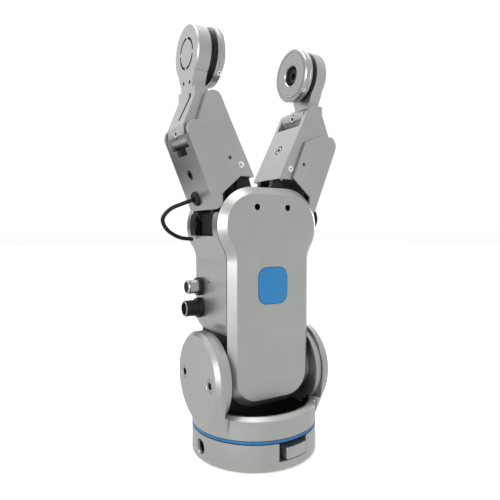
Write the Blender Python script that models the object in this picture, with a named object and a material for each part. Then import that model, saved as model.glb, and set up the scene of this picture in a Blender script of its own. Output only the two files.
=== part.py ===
"""Two-finger electric parallel gripper on a quick changer, as separate pieces.

Lengths below are millimetres; every shape is written to Blender in metres.
+Z points from the robot flange to the fingertips, the fingers open along X,
-Y is the front cover. The origin is the centre of the flange face.
"""
import math

import bmesh
import bpy
from mathutils import Matrix, Vector

MM = 0.001
GAP = 0.3                    # clearance kept between neighbouring pieces

# Quick changer, robot side
BASE_RADIUS = 31.5
CHANGER_TOP = 12.95
CHANGER_BORE = 16.0
CHANGER_FLOOR = 5.0
BOLT_CIRCLE = 25.0
BUTTON_ANGLE = -84.35        # degrees around Z from +X
BUTTON_Y, BUTTON_HEIGHT = 1.3, 7.55
SPRING_BORE = 2.1
BOLT_BORE, BOLT_HEAD = 3.3, 5.3

# Quick changer, tool side, and the tilting bracket
RING_TOP = 14.65
BRACKET_LOW = 14.95
BRACKET_FLOOR = 17.5
RIM_TOP = 25.1
POCKET_RADIUS = 28.2
TILT_HEIGHT = 39.1
EAR_OUTER = 32.4
EAR_INNER = 27.6
EAR_RADIUS = 22.4
EAR_SCREW_Y = 14.0
HUB_RADIUS = 19.5
HUB_STEP = 12.5
JOURNAL_RADIUS = 5.7         # what the body turns on

# Gripper body
COVER_FRONT = -17.7
COVER_BACK = -14.1
FRAME_BACK = 18.6
BODY_BACK = 20.4
BEVEL = 3.6
LOBE_X, LOBE_Z, LOBE_RADIUS = 9.8, 112.0, 15.0
LOBE_TURN = 33.0             # degrees of the waist's S-bend
WAIST = 19.75
FOOT_X, FOOT_RADIUS, FOOT_Z = 8.25, 11.5, 40.5
WALL = 3.0
LOW_HALF_WIDTH = 20.0        # behind the front cover, where the hubs sit
SLOT_HALF = 9.3
BADGE_HALF, BADGE_LOW, BADGE_TOP, BADGE_CORNER = 8.2, 74.9, 92.3, 4.6
CONNECTOR_Y = 14.0
UPPER_PORT, UPPER_PORT_RADIUS = 81.5, 4.2
LOWER_PORT, LOWER_PORT_RADIUS = 70.7, 4.7
BUMPER_LOW = 107.35

# Four-bar arms, described for the right-hand arm and mirrored
LINK_LENGTH = 52.0
LINK_ANGLE = 22.5            # lean from vertical in the modelled pose
AXLE_X, AXLE_Z = 8.7, 120.9
OFFSET_X, OFFSET_Z = 8.9, -14.84
OUTER_CHEEK = 13.8
OUTER_CHEEK_IN = 12.35
INNER_CHEEK = 12.05
INNER_CHEEK_IN = 9.6
FOOT_HALF = 9.2
HUB_OUT, HUB_IN = 7.2, 4.1
LUG_OUT, LUG_IN = 9.0, 7.5
PIN_CLEARANCE = 14.9
PIN_RADIUS = 1.8
PIN_BORE = PIN_RADIUS + GAP

# Fingertips
TIP_Z = 191.5
TIP_OUTER = 36.7
PADDLE_INNER = 30.2
PADDLE_RADIUS = 13.0
SENSOR_RADIUS = 12.2
PAD_BACK = 27.0
PAD_FACE = 22.8
PAD_RADIUS = 13.5
PAD_BORE = 5.0
NECK_HALF = 6.0

# Drive
MOTOR_RADIUS = 11.2
WHEEL_RADIUS = 5.5
WHEEL_TEETH = 20
BULKHEAD_LOW, BULKHEAD_TOP = 96.0, 100.0
SWING_RADIUS = 21.2          # about the tilt axis, inside the bracket's pocket
COVER_SCREWS = ((12.0, 37.0), (-12.0, 37.0), (0.0, 124.5))

# Sensor cables
CABLE_RADIUS = 0.95
GLAND_X = 28.3
CABLE_EXIT = (12.0, 105.6)    # Y and Z where each cable leaves the body

ROUND = 40                   # sides of the large round pieces

ANODISED = (0.55, 0.56, 0.545)
BLACK = (0.02, 0.02, 0.022)
STEEL = ((0.45, 0.45, 0.45), 0.3, 1.0)      # colour, roughness, metallic


def make_material(name, colour, roughness, metallic):
    material = bpy.data.materials.new(name)
    material.use_nodes = True
    shader = material.node_tree.nodes["Principled BSDF"]
    shader.inputs["Base Color"].default_value = (*colour, 1.0)
    shader.inputs["Roughness"].default_value = roughness
    shader.inputs["Metallic"].default_value = metallic
    return material


def finish(name, bm, look):
    """Turn a bmesh in millimetres into a named object with its own material."""
    bmesh.ops.remove_doubles(bm, verts=bm.verts, dist=0.0005)
    bmesh.ops.recalc_face_normals(bm, faces=bm.faces)
    bmesh.ops.scale(bm, vec=(MM, MM, MM), verts=bm.verts)
    mesh = bpy.data.meshes.new(name)
    bm.to_mesh(mesh)
    bm.free()
    part = bpy.data.objects.new(name, mesh)
    bpy.context.scene.collection.objects.link(part)
    colour, roughness, metallic = look
    mesh.materials.append(make_material(name, colour, roughness, metallic))
    return part


def place(axis, u, v, w):
    """Point whose outline coordinates are (u, v), at height w along axis."""
    if axis == "X":
        return (w, u, v)
    if axis == "Y":
        return (u, w, v)
    return (u, v, w)


def arc(cx, cz, radius, start, end, steps):
    points = []
    for i in range(steps + 1):
        angle = math.radians(start + (end - start) * i / steps)
        points.append((cx + radius * math.cos(angle), cz + radius * math.sin(angle)))
    return points


def loft(name, axis, sections, look):
    """Solid through equal-length outlines, each given with its height."""
    bm = bmesh.new()
    rings = []
    for outline, height in sections:
        rings.append([bm.verts.new(place(axis, u, v, height)) for u, v in outline])
    bm.faces.new(rings[0])
    bm.faces.new(rings[-1])
    for lower, upper in zip(rings, rings[1:]):
        for i in range(len(lower)):
            j = (i + 1) % len(lower)
            bm.faces.new((lower[i], lower[j], upper[j], upper[i]))
    return finish(name, bm, look)


def prism(name, axis, outline, low, high, look=(ANODISED, 0.4, 0.9)):
    return loft(name, axis, [(outline, low), (outline, high)], look)


def turned(name, axis, profile, centre=(0.0, 0.0), steps=32, look=(ANODISED, 0.4, 0.9)):
    """Closed profile of (radius, height) points turned about an axis."""
    bm = bmesh.new()
    rings = []
    for radius, height in profile:
        if radius < 1e-6:
            rings.append([bm.verts.new(place(axis, *centre, height))])
            continue
        circle = arc(*centre, radius, 0.0, 360.0, steps)[:-1]
        rings.append([bm.verts.new(place(axis, u, v, height)) for u, v in circle])
    for one, two in zip(rings, rings[1:] + rings[:1]):
        if len(one) == 1 and len(two) == 1:
            continue
        for i in range(steps):
            j = (i + 1) % steps
            corners = [one[i % len(one)], one[j % len(one)], two[j % len(two)], two[i % len(two)]]
            bm.faces.new(list(dict.fromkeys(corners)))
    return finish(name, bm, look)


def rod(name, axis, centre, radius, low, high, steps=12, look=(ANODISED, 0.3, 0.95)):
    profile = [(0.0, low), (radius, low), (radius, high), (0.0, high)]
    return turned(name, axis, profile, centre, steps, look)


def box(name, low, high, look=(ANODISED, 0.4, 0.9)):
    outline = [(low[0], low[1]), (high[0], low[1]), (high[0], high[1]), (low[0], high[1])]
    return prism(name, "Z", outline, low[2], high[2], look)


def combine(target, other, operation):
    """Apply an exact Boolean of other on target, then drop other."""
    other.hide_render = True
    other.display_type = "WIRE"
    modifier = target.modifiers.new(operation.lower(), "BOOLEAN")
    modifier.operation = operation
    modifier.solver = "EXACT"
    modifier.object = other
    graph = bpy.context.evaluated_depsgraph_get()
    result = bpy.data.meshes.new_from_object(target.evaluated_get(graph))
    materials = [m for m in target.data.materials]
    target.modifiers.clear()
    target.data = result
    result.materials.clear()
    result.materials.append(materials[0])
    for polygon in result.polygons:
        polygon.material_index = 0
    bpy.data.objects.remove(other)
    return target


def cut(target, *others):
    for other in others:
        combine(target, other, "DIFFERENCE")
    return target


def fuse(target, *others):
    for other in others:
        combine(target, other, "UNION")
    return target


def turn_about_z(part, degrees):
    part.data.transform(Matrix.Rotation(math.radians(degrees), 4, "Z"))
    return part


def merge_flat_faces(part):
    """Join faces that lie in one plane, which the Booleans leave split."""
    bm = bmesh.new()
    bm.from_mesh(part.data)
    bmesh.ops.dissolve_limit(bm, angle_limit=math.radians(0.05), verts=bm.verts, edges=bm.edges)
    bm.to_mesh(part.data)
    bm.free()


def smooth(part, angle=35.0):
    part.data.shade_smooth()
    part.data.set_sharp_from_angle(angle=math.radians(angle))


def joint_empty(name, location):
    empty = bpy.data.objects.new(name, None)
    empty.location = Vector(location) * MM
    empty.empty_display_size = 0.005
    bpy.context.scene.collection.objects.link(empty)
    return empty


def carry(empty, parts):
    """Parent parts to an empty on their joint's axis without moving them."""
    for part in parts:
        part.parent = empty
        part.matrix_parent_inverse = Matrix.Translation(-empty.location)


# ---------------------------------------------------------------- quick changer

def changer_base():
    base = turned("changer_base", "Z", [
        (0, 0), (BASE_RADIUS - 0.6, 0), (BASE_RADIUS, 0.6), (BASE_RADIUS, CHANGER_TOP),
        (CHANGER_BORE, CHANGER_TOP), (CHANGER_BORE, CHANGER_FLOOR), (0, CHANGER_FLOOR)],
        steps=ROUND)
    for quarter in range(4):
        angle = math.radians(45 + 90 * quarter)
        spot = (BOLT_CIRCLE * math.cos(angle), BOLT_CIRCLE * math.sin(angle))
        cut(base, rod("bolt", "Z", spot, BOLT_BORE, -1, 14, 12), rod("head", "Z", spot, BOLT_HEAD, 7, 14, 16))
    cut(base, rod("dowel", "Z", (0, BOLT_CIRCLE), 3.0, -1, 4.5, 12))
    side_hole = turned("side", "X", [(0, -34), (4.6, -34), (2.9, -30.6), (2.9, -27.5), (0, -27.5)],
                       (-2.2, 6.7), 14)
    window = turn_about_z(box("window", (21.8, -8.5, 4.4), (34, 7.9, 14)), BUTTON_ANGLE)
    spring_bore = rod("bore", "X", (BUTTON_Y, BUTTON_HEIGHT), SPRING_BORE, 17.6, 23, 10)
    turn_about_z(spring_bore, BUTTON_ANGLE)
    return cut(base, side_hole, window, spring_bore)


def release_button():
    outer = BASE_RADIUS + 0.5
    ends = [math.degrees(math.asin(u / outer)) for u in (-4.9, 7.6)]
    outline = [(24.8, 7.6), (24.8, -4.9)] + arc(0, 0, outer, ends[0], ends[1], 8)
    button = prism("release_button", "Z", outline, 4.7, 10.4)
    bore = rod("bore", "X", (BUTTON_Y, BUTTON_HEIGHT), SPRING_BORE, 20, 27.4, 10)
    return turn_about_z(cut(button, bore), BUTTON_ANGLE)


def helix_tube(name, radius, wire, low, high, turns, look):
    """Round wire wound about the X axis, with flat closed ends."""
    steps = 7 * turns
    sides = 5
    bm = bmesh.new()
    rings = []
    for i in range(steps + 1):
        turn = 2 * math.pi * turns * i / steps
        out = Vector((0, math.cos(turn), math.sin(turn)))
        middle = out * radius + Vector((low + (high - low) * i / steps, 0, 0))
        ring = []
        for k in range(sides):
            spin = 2 * math.pi * k / sides
            ring.append(bm.verts.new(middle + out * wire * math.cos(spin)
                                     + Vector((1, 0, 0)) * wire * math.sin(spin)))
        rings.append(ring)
    bm.faces.new(rings[0])
    bm.faces.new(rings[-1])
    for one, two in zip(rings, rings[1:]):
        for k in range(sides):
            m = (k + 1) % sides
            bm.faces.new((one[k], one[m], two[m], two[k]))
    return finish(name, bm, look)


def release_spring():
    spring = helix_tube("release_spring", 1.45, 0.28, 18.2, 26.8, 4, ((0.5, 0.5, 0.5), 0.3, 1.0))
    spring.data.transform(Matrix.Translation(Vector((0, BUTTON_Y, BUTTON_HEIGHT)) * MM))
    return turn_about_z(spring, BUTTON_ANGLE)


def contact_block():
    block = turned("contact_block", "Z", [(0, 5.3), (7.4, 5.3), (7.4, 10.8), (0, 10.8)],
                   steps=20, look=(BLACK, 0.5, 0.0))
    for column in range(4):
        for row in (-1, 1):
            spot = (-4.5 + 3.0 * column, 1.6 * row)
            fuse(block, rod("pin", "Z", spot, 0.6, 10.0, 12.4, 5))
    return block


def seal_ring():
    return turned("seal_ring", "Z", [(17, CHANGER_TOP + GAP), (BASE_RADIUS, CHANGER_TOP + GAP),
                                     (BASE_RADIUS, RING_TOP), (17, RING_TOP)],
                  steps=40, look=((0.03, 0.19, 0.5), 0.35, 0.0))


def ear_solid(side):
    """Disc-shaped ear that tapers down into the round base."""
    points = []
    for radius, x in ((20.4, EAR_OUTER), (EAR_RADIUS, EAR_OUTER - 1.8), (EAR_RADIUS, EAR_INNER - 0.6)):
        points += [(side * x, u, v) for u, v in arc(0, TILT_HEIGHT, radius, 0, 360, 32)[:-1]]
    for z in (BRACKET_LOW + 0.7, RIM_TOP - 1.4):
        points += [(side * u, v, z) for u, v in arc(0, 0, BASE_RADIUS - 0.4, -36, 36, 6)]
    bm = bmesh.new()
    for point in points:
        bm.verts.new(point)
    hull = bmesh.ops.convex_hull(bm, input=bm.verts)
    bmesh.ops.delete(bm, geom=list(set(hull["geom_interior"] + hull["geom_unused"])), context="VERTS")
    return finish("ear", bm, (ANODISED, 0.4, 0.9))


def bracket():
    part = turned("bracket", "Z", [
        (0, 15.3), (8.2, 15.3), (8.2, 7.6), (15.6, 7.6), (15.6, BRACKET_LOW),
        (BASE_RADIUS, BRACKET_LOW), (BASE_RADIUS, 23.7), (29.3, RIM_TOP),
        (POCKET_RADIUS, RIM_TOP), (POCKET_RADIUS, BRACKET_FLOOR), (0, BRACKET_FLOOR)], steps=ROUND)
    fuse(part, ear_solid(-1), ear_solid(1))
    reach = math.degrees(math.acos(EAR_INNER / POCKET_RADIUS))
    outline = arc(0, 0, POCKET_RADIUS, reach, 180 - reach, 18)
    outline += arc(0, 0, POCKET_RADIUS, 180 + reach, 360 - reach, 18)
    cut(part, prism("pocket", "Z", outline, BRACKET_FLOOR, RIM_TOP + 5))
    cut(part, box("between_ears", (-EAR_INNER, -30, RIM_TOP), (EAR_INNER, 30, 70)))
    cut(part, rod("hub_seats", "X", (0, TILT_HEIGHT), HUB_RADIUS + GAP, -EAR_INNER, EAR_INNER, 36))
    for side in (-1, 1):
        for y in (-EAR_SCREW_Y, EAR_SCREW_Y):
            profile = [(0, 25), (1.85, 25), (1.85, 30.7), (3.6, 32.45), (3.6, 34), (0, 34)]
            profile = [(r, side * h) for r, h in profile]
            cut(part, turned("hole", "X", profile, (y, TILT_HEIGHT), 14))
    return part


def contact_plate():
    return turned("contact_plate", "Z", [(0, 12.8), (7.8, 12.8), (7.8, 15.0), (0, 15.0)],
                  steps=20, look=(BLACK, 0.5, 0.0))


def ear_hub(side, name):
    """Flange bolted inside an ear, with the journal that the body tilts on."""
    inside = LOW_HALF_WIDTH + 0.4
    plate = EAR_INNER - 1.8
    profile = [(0, 17.3), (JOURNAL_RADIUS, 17.3), (JOURNAL_RADIUS, inside), (HUB_STEP, inside), (HUB_STEP, plate),
               (HUB_RADIUS, plate), (HUB_RADIUS, EAR_INNER - GAP), (0, EAR_INNER - GAP)]
    hub = turned(name, "X", [(r, side * h) for r, h in profile], (0, TILT_HEIGHT), 24,
                 (ANODISED, 0.45, 0.8))
    for y in (-EAR_SCREW_Y, EAR_SCREW_Y):
        cut(hub, rod("hole", "X", (y, TILT_HEIGHT), 1.85, side * 24, side * 29, 10))
    return hub


def ear_screw(side, y, name):
    profile = [(0, 25.9), (1.5, 25.9), (1.5, 30.7), (3.2, 32.3), (1.3, 32.3), (1.3, 31.0), (0, 31.0)]
    return turned(name, "X", [(r, side * h) for r, h in profile], (y, TILT_HEIGHT), 12,
                  ((0.35, 0.35, 0.35), 0.35, 1.0))


# ------------------------------------------------------------------------- body

def half_outline(offset):
    """Right half of the front elevation, from the top centre down."""
    end = math.radians(LOBE_TURN)
    neck_radius = (LOBE_X + LOBE_RADIUS * math.cos(end) - WAIST) / (1 - math.cos(end))
    neck_z = LOBE_Z - (LOBE_RADIUS + neck_radius) * math.sin(end)
    lobe = arc(LOBE_X, LOBE_Z, LOBE_RADIUS + offset, 90, -LOBE_TURN, 10)
    neck = arc(WAIST + neck_radius, neck_z, neck_radius - offset, 180 - LOBE_TURN, 180, 4)
    foot = arc(FOOT_X, FOOT_Z, FOOT_RADIUS + offset, 0, -90, 6)
    return lobe + neck[1:] + foot


def mirrored(half):
    return half + [(-x, z) for x, z in reversed(half)]


def badge_outline(margin):
    half_x, corner = BADGE_HALF + margin, BADGE_CORNER + margin
    low, high = BADGE_LOW - margin, BADGE_TOP + margin
    corners = [(half_x, high, 0), (-half_x, high, 90), (-half_x, low, 180), (half_x, low, 270)]
    outline = []
    for x, z, start in corners:
        cx = x - math.copysign(corner, x)
        cz = z - math.copysign(corner, z - (low + high) / 2)
        outline += arc(cx, cz, corner, start, start + 90, 4)
    return outline


def front_cover():
    cover = loft("front_cover", "Y", [(mirrored(half_outline(0)), COVER_FRONT),
                                      (mirrored(half_outline(BEVEL)), COVER_BACK)],
                 (ANODISED, 0.42, 0.9))
    for side in (-1, 1):
        sink = turned("sink", "Y", [(0, -18.5), (2.7, -18.5), (2.7, -16.3), (2.0, -16.3), (2.0, -13), (0, -13)],
                      (side * AXLE_X, AXLE_Z), 14)
        blind = rod("blind", "Y", (side * (AXLE_X + OFFSET_X), AXLE_Z + OFFSET_Z), PIN_BORE, -15.9, -13)
        cut(cover, sink, blind)
    return cut(cover, prism("recess", "Y", badge_outline(GAP), -19, -17.0))


def badge():
    return prism("badge", "Y", badge_outline(0), -17.95, -17.3, ((0.04, 0.21, 0.55), 0.4, 0.0))


def frame_half(offset, low_half_width, foot_radius):
    """Right wall of the frame, from the lobe's open top down to the bottom."""
    upper = [p for p in half_outline(offset) if p[1] > 80]
    top = math.degrees(math.asin((118.3 - LOBE_Z) / (LOBE_RADIUS + offset)))
    lobe = arc(LOBE_X, LOBE_Z, LOBE_RADIUS + offset, top, -LOBE_TURN, 7)
    neck = [p for p in upper if p[1] < lobe[-1][1] - 0.1]
    waist = WAIST + offset
    turn_in = [(waist, 66.5), (waist - 0.5, 63.8), (waist - 1.6, 61.6), (low_half_width, 59.6)]
    bottom = FOOT_Z - FOOT_RADIUS - offset
    foot = arc(low_half_width - foot_radius, bottom + foot_radius, foot_radius, 0, -90, 5)
    return lobe + neck + turn_in + foot


def swing_clearance():
    """Everything below and behind the cylinder that the foot may fill as it tilts."""
    outline = arc(0, TILT_HEIGHT, SWING_RADIUS, -5, -85, 16) + [(2.0, 5.0), (40.0, 5.0), (40.0, 37.2)]
    return prism("swing", "X", outline, -40, 40)


def frame():
    outer = frame_half(BEVEL, LOW_HALF_WIDTH, 13.0)
    inner = frame_half(BEVEL - WALL, LOW_HALF_WIDTH - WALL, 10.0)
    wall = mirrored(outer) + [(-x, z) for x, z in inner] + list(reversed(inner))
    part = prism("frame", "Y", wall, -OUTER_CHEEK, FRAME_BACK)
    plate = [p for p in mirrored(half_outline(BEVEL)) if p[1] > 97.5]
    fuse(part, prism("rear_plate", "Y", plate, -COVER_BACK, FRAME_BACK))
    fuse(part, box("screw_bar", (-17.5, 14.0, 27.0), (17.5, FRAME_BACK, 40.5)))
    fuse(part, box("bulkhead", (-21.5, -OUTER_CHEEK, BULKHEAD_LOW), (21.5, 17.0, BULKHEAD_TOP)))
    cut(part, rod("seat", "Z", (0, 0), 4.4, 90, 105, 24))
    for side in (-1, 1):
        edges = sorted((side * 25.0, side * GLAND_X))
        fuse(part, rod("gland", "X", CABLE_EXIT, 2.3, edges[0], edges[1], 14))
        edges = sorted((side * 22.4, side * 31.0))
        cut(part, box("slot", (edges[0], -SLOT_HALF, 107.3), (edges[1], SLOT_HALF, 125)))
        edges = sorted((side * 14.0, side * 22.0))
        cut(part, rod("bore", "X", (0, TILT_HEIGHT), JOURNAL_RADIUS + GAP, edges[0], edges[1], 32))
        for x, z in ((AXLE_X, AXLE_Z), (AXLE_X + OFFSET_X, AXLE_Z + OFFSET_Z)):
            cut(part, rod("pin_bore", "Y", (side * x, z), PIN_BORE, 13, 17.0))
    for z, radius in ((UPPER_PORT, 3.6), (LOWER_PORT, 3.9)):
        cut(part, rod("connector_bore", "X", (CONNECTOR_Y, z), radius, -26, -18, 16))
    cut(part, rod("pilot", "X", (4.3, 84.5), 0.7, -25, -22, 12))
    for x, z in COVER_SCREWS:
        cut(part, rod("tapped", "Y", (x, z), 1.6, 15.5, 20, 12))
    return cut(part, swing_clearance())


def back_cover():
    """Thin plate whose lower half follows the narrow foot of the frame."""
    def outline(offset):
        upper = [p for p in half_outline(offset) if p[1] > 80]
        lower = frame_half(offset, LOW_HALF_WIDTH - BEVEL + offset, 13.0 - BEVEL + offset)
        return mirrored(upper + [p for p in lower if p[1] < 70])
    cover = loft("back_cover", "Y", [(outline(BEVEL), FRAME_BACK + GAP),
                                     (outline(BEVEL - 1.4), BODY_BACK)], (ANODISED, 0.42, 0.9))
    for x, z in COVER_SCREWS:
        profile = [(0, 18), (1.6, 18), (1.6, 19.7), (2.9, 19.7), (2.9, 21), (0, 21)]
        cut(cover, turned("hole", "Y", profile, (x, z), 12))
    return cut(cover, swing_clearance())


def cover_screw(x, z, name):
    profile = [(0, 17.2), (1.25, 17.2), (1.25, 20.0), (2.5, 20.0), (2.5, 20.7), (1.0, 20.7),
               (1.0, 20.2), (0, 20.2)]
    return turned(name, "Y", profile, (x, z), 12, ((0.3, 0.3, 0.3), 0.35, 1.0))


def bumper(side, name):
    """Rubber stop that closes the side window of the lobe."""
    outline = [(side * x, z) for x, z in ((23.0, BUMPER_LOW + 0.3), (25.7, BUMPER_LOW + 0.3),
                                          (25.7, 118.2), (24.9, 119.0), (23.0, 119.0))]
    return prism(name, "Y", outline, -7.2, 7.2, (BLACK, 0.6, 0.0))


def connector(name, z, radius, length):
    """Round panel connector on the left wall, open at its outer end."""
    wall = WAIST + BEVEL
    profile = [(0, 18.6), (radius - 1.0, 18.6), (radius - 1.0, wall + GAP), (radius, wall + GAP),
               (radius, wall + 2.0), (radius - 0.5, wall + 2.0), (radius - 0.5, wall + length),
               (radius - 1.3, wall + length), (radius - 1.3, wall + 3.0), (0, wall + 3.0)]
    return turned(name, "X", [(r, -h) for r, h in profile], (CONNECTOR_Y, z), 16, ((0.25, 0.25, 0.26), 0.3, 0.9))


# ------------------------------------------------------------------------ drive

def motor():
    part = turned("motor", "Z", [(0, 46), (10.2, 46), (MOTOR_RADIUS, 47), (MOTOR_RADIUS, 83.5), (0, 83.5)],
                  steps=24, look=((0.12, 0.12, 0.13), 0.35, 0.8))
    return fuse(part, rod("boss", "Z", (0, 0), 4.0, 44, 47, 16))


def gearbox():
    return turned("gearbox", "Z", [(0, 83.8), (MOTOR_RADIUS, 83.8), (MOTOR_RADIUS, 92.5), (4.5, 92.5),
                                   (4.5, 95.0), (0, 95.0)],
                  steps=24, look=((0.4, 0.4, 0.4), 0.35, 0.9))


def worm():
    """Worm with a single helical thread, and its shaft down into the gearbox."""
    steps = 9
    turns = 4
    low, high = 113.0, 126.6
    rows = steps * turns // 2
    bm = bmesh.new()
    profile = [(0.0, 95.3), (1.4, 95.3), (1.4, 111.9), (2.1, 112.4)]
    rings = []
    for radius, z in profile:
        if radius == 0:
            rings.append([bm.verts.new((0, 0, z))])
            continue
        rings.append([bm.verts.new((u, v, z)) for u, v in arc(0, 0, radius, 0, 360, steps)[:-1]])
    for row in range(rows + 1):
        ring = []
        z = low + (high - low) * row / rows
        for k in range(steps):
            wave = math.cos(2 * math.pi * (turns * row / rows - k / steps))
            radius = 2.55 + 0.45 * wave
            angle = 2 * math.pi * k / steps
            ring.append(bm.verts.new((radius * math.cos(angle), radius * math.sin(angle), z)))
        rings.append(ring)
    rings.append([bm.verts.new((0, 0, high + 0.4))])
    for one, two in zip(rings, rings[1:]):
        for k in range(steps):
            m = (k + 1) % steps
            corners = [one[k % len(one)], one[m % len(one)], two[m % len(two)], two[k % len(two)]]
            bm.faces.new(list(dict.fromkeys(corners)))
    return finish("worm", bm, ((0.45, 0.45, 0.46), 0.25, 1.0))


def worm_bearing():
    return turned("worm_bearing", "Z", [(1.8, 96.3), (4.1, 96.3), (4.1, 99.7), (1.8, 99.7)],
                  steps=16, look=((0.5, 0.5, 0.5), 0.25, 1.0))


def worm_wheel(side, name):
    outline = []
    for tooth in range(WHEEL_TEETH):
        for part_of, radius in ((0.0, WHEEL_RADIUS - 0.8), (0.3, WHEEL_RADIUS), (0.6, WHEEL_RADIUS)):
            angle = 2 * math.pi * (tooth + part_of) / WHEEL_TEETH
            outline.append((side * (AXLE_X + radius * math.cos(angle)), AXLE_Z + radius * math.sin(angle)))
    wheel = prism(name, "Y", outline, -HUB_IN + GAP, HUB_IN - GAP, ((0.55, 0.4, 0.15), 0.35, 1.0))
    return cut(wheel, rod("bore", "Y", (side * AXLE_X, AXLE_Z), PIN_BORE, -6, 6, 16))


def control_board():
    board = box("control_board", (-14.5, 14.6, 46.0), (14.5, 16.2, 93.0), ((0.02, 0.12, 0.05), 0.5, 0.0))
    for x, z, w, h in ((-7.0, 60.0, 5.0, 5.0), (5.5, 74.0, 4.0, 6.0), (6.0, 55.0, 3.0, 3.0)):
        fuse(board, box("chip", (x - w, 16.0, z - h), (x + w, 17.6, z + h)))
    return board


# ------------------------------------------------------------------------- arms

LEAN = math.radians(LINK_ANGLE)


def along_link(side, base, points):
    """Map (along, outward) link coordinates to world X and Z."""
    mapped = []
    for t, p in points:
        x = base[0] + t * math.sin(LEAN) + p * math.cos(LEAN)
        z = base[1] + t * math.cos(LEAN) - p * math.sin(LEAN)
        mapped.append((side * x, z))
    return mapped


INNER_BASE = (AXLE_X, AXLE_Z)
OUTER_BASE = (AXLE_X + OFFSET_X, AXLE_Z + OFFSET_Z)
INNER_TOP = along_link(1, INNER_BASE, [(LINK_LENGTH, 0)])[0]
OUTER_TOP = along_link(1, OUTER_BASE, [(LINK_LENGTH, 0)])[0]


def pivot(side, base, along):
    x, z = along_link(1, base, [(along, 0)])[0]
    return (side * x, z)


def inner_link(side, name):
    top = arc(LINK_LENGTH, 0, 4.4, -80, 45, 8)
    # the cheek stops short of the path that the outer pin takes round the top pivot
    pin_path = arc(LINK_LENGTH, 0, PIN_CLEARANCE, 131, 160, 5)
    cheek = [(13.0, -7.0), (42.0, -4.9)] + top + [(46.2, 10.7)] + pin_path
    cheek += [(36.0, 5.0), (18.2, 5.0), (16.5, 2.0)]
    web = [(13.0, -7.0), (42.0, -4.9), (44.0, -4.75), (44.0, -2.8), (13.0, -4.6)]
    hub = [(20.0, -3.2), (20.0, -6.4), (13.0, -7.0), (6.0, -6.5)] + arc(0, 0, 6.3, -90, -300, 14)
    link = prism(name, "Y", along_link(side, INNER_BASE, web), -INNER_CHEEK + 0.5, INNER_CHEEK - 0.5)
    for end in (-1, 1):
        low, high = sorted((end * INNER_CHEEK_IN, end * INNER_CHEEK))
        fuse(link, prism("cheek", "Y", along_link(side, INNER_BASE, cheek), low, high))
        low, high = sorted((end * HUB_IN, end * HUB_OUT))
        fuse(link, prism("hub", "Y", along_link(side, INNER_BASE, hub), low, high))
    cut(link, rod("axle_bore", "Y", pivot(side, INNER_BASE, 0), PIN_BORE, -8, 8))
    cut(link, rod("pin_bore", "Y", pivot(side, INNER_BASE, LINK_LENGTH), PIN_BORE, -11.3, 11.3))
    return link


def outer_link(side, name):
    corner = arc(LINK_LENGTH, 0, 4.9, 90, 0, 8)
    plate = [(16.6, 0.9), (16.6, 4.9)] + corner + [(54.6, -5.9), (46.8, -14.1), (26.6, -14.1), (22.1, -0.9)]
    web = [(16.6, 3.1), (16.6, 4.9), (52.0, 4.9), (52.0, 3.1)]
    # the lug is waisted so that it clears the body's side window when the arm is wide open
    lug = arc(0, 0, 3.4, 70, 250, 10) + [(20.0, -2.0), (30.0, 1.5), (30.0, 3.6), (14.0, 4.9),
                                         (12.5, 4.6), (9.5, 2.9), (6.5, 1.6)]
    link = prism(name, "Y", along_link(side, OUTER_BASE, web), -OUTER_CHEEK + 0.5, OUTER_CHEEK - 0.5)
    notch = along_link(side, OUTER_BASE, [(46.4, 2.0), (46.4, 6.0), (60.0, 6.0), (60.0, 2.0)])
    cut(link, prism("notch", "Y", notch, -INNER_CHEEK_IN, INNER_CHEEK_IN))
    slot = along_link(side, OUTER_BASE, [(43.2, 2.0), (43.2, 6.0), (50.0, 6.0), (50.0, 2.0)])
    cut(link, prism("slot", "Y", slot, -5.5, 5.5))
    for end in (-1, 1):
        low, high = sorted((end * OUTER_CHEEK_IN, end * OUTER_CHEEK))
        fuse(link, prism("plate", "Y", along_link(side, OUTER_BASE, plate), low, high))
        low, high = sorted((end * LUG_IN, end * LUG_OUT))
        fuse(link, prism("lug", "Y", along_link(side, OUTER_BASE, lug), low, high))
    cut(link, rod("axle_bore", "Y", pivot(side, OUTER_BASE, 0), PIN_BORE, -10, 10))
    cut(link, rod("pin_bore", "Y", pivot(side, OUTER_BASE, LINK_LENGTH), PIN_BORE, -13.2, 13.2))
    hole = along_link(side, OUTER_BASE, [(35.8, -10.8)])[0]
    cut(link, rod("hole", "Y", hole, 0.9, -15, -11, 12))
    return cut(link, link_rod(side, "grommet_bore", OUTER_BASE, 22.6, 2.0, 2.6, 2.0, 6.0, 12))


def link_rod(side, name, base, along, y, radius, low, high, steps, look=(ANODISED, 0.4, 0.9)):
    """Rod square to a link's side face; low and high are outward distances."""
    return link_turned(side, name, base, along, y, [(0, low), (radius, low), (radius, high), (0, high)],
                       steps, look)


def link_turned(side, name, base, along, y, profile, steps, look):
    part = turned(name, "X", profile, (0, 0), steps, look)
    x, z = along_link(1, base, [(along, 0)])[0]
    move = Matrix.Translation(Vector((x, y, z)) * MM) @ Matrix.Rotation(LEAN, 4, "Y")
    if side < 0:
        move = Matrix.Scale(-1, 4, (1, 0, 0)) @ move
    part.data.transform(move)
    if side < 0:
        part.data.flip_normals()
    return part


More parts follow.
